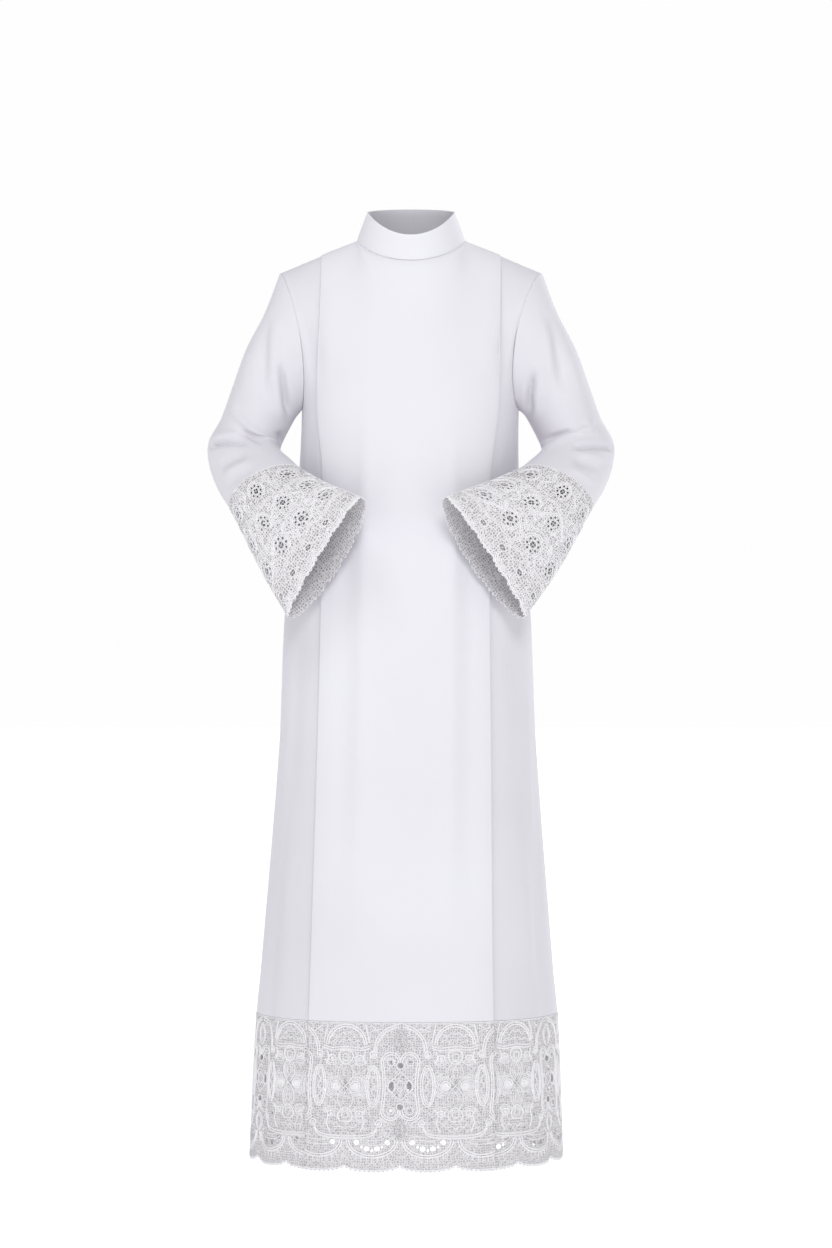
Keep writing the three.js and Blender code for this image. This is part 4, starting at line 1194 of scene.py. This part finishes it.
# Pattern of half a cuff, from its outer edge to its inner one: rosettes round the holes, with
# scrolls, leaves and garlands between them, and arcs in the scallops
def cuffPattern(wide, deep):
    heavy, fine, bars, holes = [], [], [], []
    last = len(cuffRows) - 1
    for number, (down, count, a, b) in enumerate(cuffRows):
        pitch, d = wide / count, down * deep
        ring, end = rosetteForm["ring"], rosetteForm["barEnd"]
        for i in range(count):
            s = (i + 0.5) * pitch
            holes.append((s, d, a, b))
            fine.append(ellipse(s, d, a + ring, b + ring))
            for turn in np.radians(np.arange(2) * 90 + rosetteForm["barTurn"] * (i + number)):
                x, y = (a + end) * math.cos(turn), (b + end) * math.sin(turn)
                bars.append(line(s - x, d - y, s + x, d + y))
            if number < last:
                arcs, petals, eyelets = rosette(s, d, a, b)
                heavy, fine, holes = heavy + arcs, fine + petals, holes + eyelets
        if number == last:
            continue
        half, eye, (beside, below) = scroll["half"], scroll["eye"], scroll["leaf"]
        for i in range(count + 1):
            s, way = i * pitch, 1 if (i + number) % 2 else -1
            for reach in scroll["radii"]:
                heavy.append(ellipse(0, -half, reach, reach, -110, 95) * (way, 1) + (s, d))
                heavy.append(ellipse(0, half, reach, reach, 85, 290) * (way, 1) + (s, d))
            heavy += [ellipse(s, d - half, eye, eye), ellipse(s, d + half, eye, eye)]
            fine += [almond(s + up * way * beside, d + up * below, *scroll["leafSize"]) for up in (1, -1)]
            fine += [ellipse(s, d + y, eye, eye) for y in (-scroll["bud"], scroll["bud"])]
        low = d + 0.5 * (cuffRows[number + 1][0] - down) * deep
        for off in garland["threads"]:
            swings = [garland["swing"] * math.cos(j * math.pi / 2) for j in range(4 * count + 1)]
            fine.append(bent(*((j * pitch / 4, low + off + swing) for j, swing in enumerate(swings))))
    for number in range(cuff["scallops"]):
        middle, reach = (number + 0.5) / cuff["scallops"] * wide, wide / cuff["scallops"] / 2
        for cords, sizes in ((heavy, scallopArcs["heavy"]), (fine, scallopArcs["fine"])):
            for r in sizes:
                high = scallopArcs["high"] * r
                cords.append(ellipse(middle, deep - scallopArcs["up"], reach * r, high, 0, 180))
    return heavy, fine, bars, holes


def makeCuff(name, node, side, facing):
    part = evenShares(cuff["columns"])
    turn = np.pi * part if facing < 0 else 2 * np.pi - np.pi * part
    table = sleeveTable(side, turn)
    run = gaps(table[clothRings:]).mean(axis=1).sum()
    at = np.linspace(clothRings, len(table) - 1, max(cuff["leastRows"], int(run / cuff["rowStep"])) + 1)
    grid = betweenRings(table, at)
    if side * facing < 0:
        grid = grid[:, ::-1]
    grid[:, 0] += unit(grid[:, 1] - grid[:, 0]) * seam
    grid[:, -1] += unit(grid[:, -2] - grid[:, -1]) * seam
    grid[0] += unit(grid[1] - grid[0]) * 2 * seam
    down, along = running(gaps(grid).mean(axis=1)), running(gaps(grid, 1).mean(axis=0))
    wide, deep = along[-1], down[-1]
    heavy, fine, bars, holes = cuffPattern(wide, deep)

    def edge(s):
        return deep - edgeArc(s / wide * cuff["scallops"], cuff["scallopDepth"])

    girth = gaps(grid, 1).sum(axis=1)
    surface = {"along": along, "place": bandSurface(grid, along, down),
               "spread": lambda d: np.interp(d, down, girth / wide)}
    return (*laceBand(name, node, "cuff_lace", surface, wide, edge, heavy, fine, holes, bars), wide, deep)


cuffs = {
    "cuffLeftFront": ("cuff_lace_left_front", 1, -1),
    "cuffLeftBack": ("cuff_lace_left_back", 1, 1),
    "cuffRightFront": ("cuff_lace_right_front", -1, -1),
    "cuffRightBack": ("cuff_lace_right_back", -1, 1),
}
cuffPieces = {name: makeCuff(name, *where) for name, where in cuffs.items()}
print("cuff lace made", {name: (round(made[2]), round(made[3])) for name, made in cuffPieces.items()})

# Camera, light and floor
camera = {"distance": 6.6, "right": 0.0075, "height": -0.5715, "frameHeight": 1.872, "sensor": 36}
bpy.ops.object.camera_add(
    location=(camera["right"], -camera["distance"], camera["height"]), rotation=(math.pi / 2, 0, 0)
)
eye = bpy.context.object
eye.data.sensor_width = camera["sensor"]
eye.data.lens = camera["sensor"] * camera["distance"] / camera["frameHeight"]
bpy.context.scene.camera = eye

stage = {"floor": -1.437, "size": 60, "glow": 0.78, "band": 0.99, "top": 0.4, "bandEnds": (0.16, 0.32),
         "aim": (0, 0, -0.6)}
lamps = [
    {"place": (0.8, -7.0, 3.2), "size": 2.4, "power": 190},
    {"place": (-1.8, -2.6, 4.4), "size": 1.8, "power": 56},
    {"place": (0.0, 1.6, 3.4), "size": 3.0, "power": 14},
    {"place": (3.4, 3.8, 1.4), "size": 1.2, "power": 50},
]
bpy.ops.mesh.primitive_plane_add(size=stage["size"], location=(0, 0, stage["floor"]))
floor = bpy.context.object
floor.name = "floor"
floorPaint = Paint(bpy.data.materials.new("paleFloor"))
floor.data.materials.append(
    floorPaint.finish(
        Base_Color=(0.5, 0.5, 0.51, 1), Roughness=0.35, Specular_IOR_Level=0.3,
        Emission_Color=(1, 1, 1, 1), Emission_Strength=stage["glow"],
    )
)
for number, lamp in enumerate(lamps):
    bpy.ops.object.light_add(type="AREA", location=lamp["place"])
    light = bpy.context.object
    light.name = f"softLight{number}"
    light.data.energy, light.data.size = lamp["power"], lamp["size"]
    toward = np.array(stage["aim"]) - np.array(lamp["place"])
    pitch = math.atan2(math.hypot(toward[0], toward[1]), -toward[2])
    light.rotation_euler = (pitch, 0, math.atan2(toward[1], toward[0]) - math.pi / 2)
# The studio is white all round at the camera's height and darker overhead
sky = Paint(bpy.data.worlds.new("studio"), "Background")
height = sky.node("ShaderNodeSeparateXYZ", None, sky.node("ShaderNodeTexCoord"), out=2)
tone = sky.steps(height, *stage["bandEnds"]) * (stage["top"] - stage["band"]) + stage["band"]
bpy.context.scene.world = sky.finish(Color=tone, Strength=1.0)
bpy.context.scene.view_settings.view_transform = "Standard"
print("stage set")

# Lengths of the hem bands and sizes of the cuffs, in metres, worked out and not kept
frontRun * mm
backRun * mm
for name, (net, cords, wide, deep) in cuffPieces.items():
    above = "sleeveLeftCloth" if "Left" in name else "sleeveRightCloth"
    wide * mm
    deep * mm
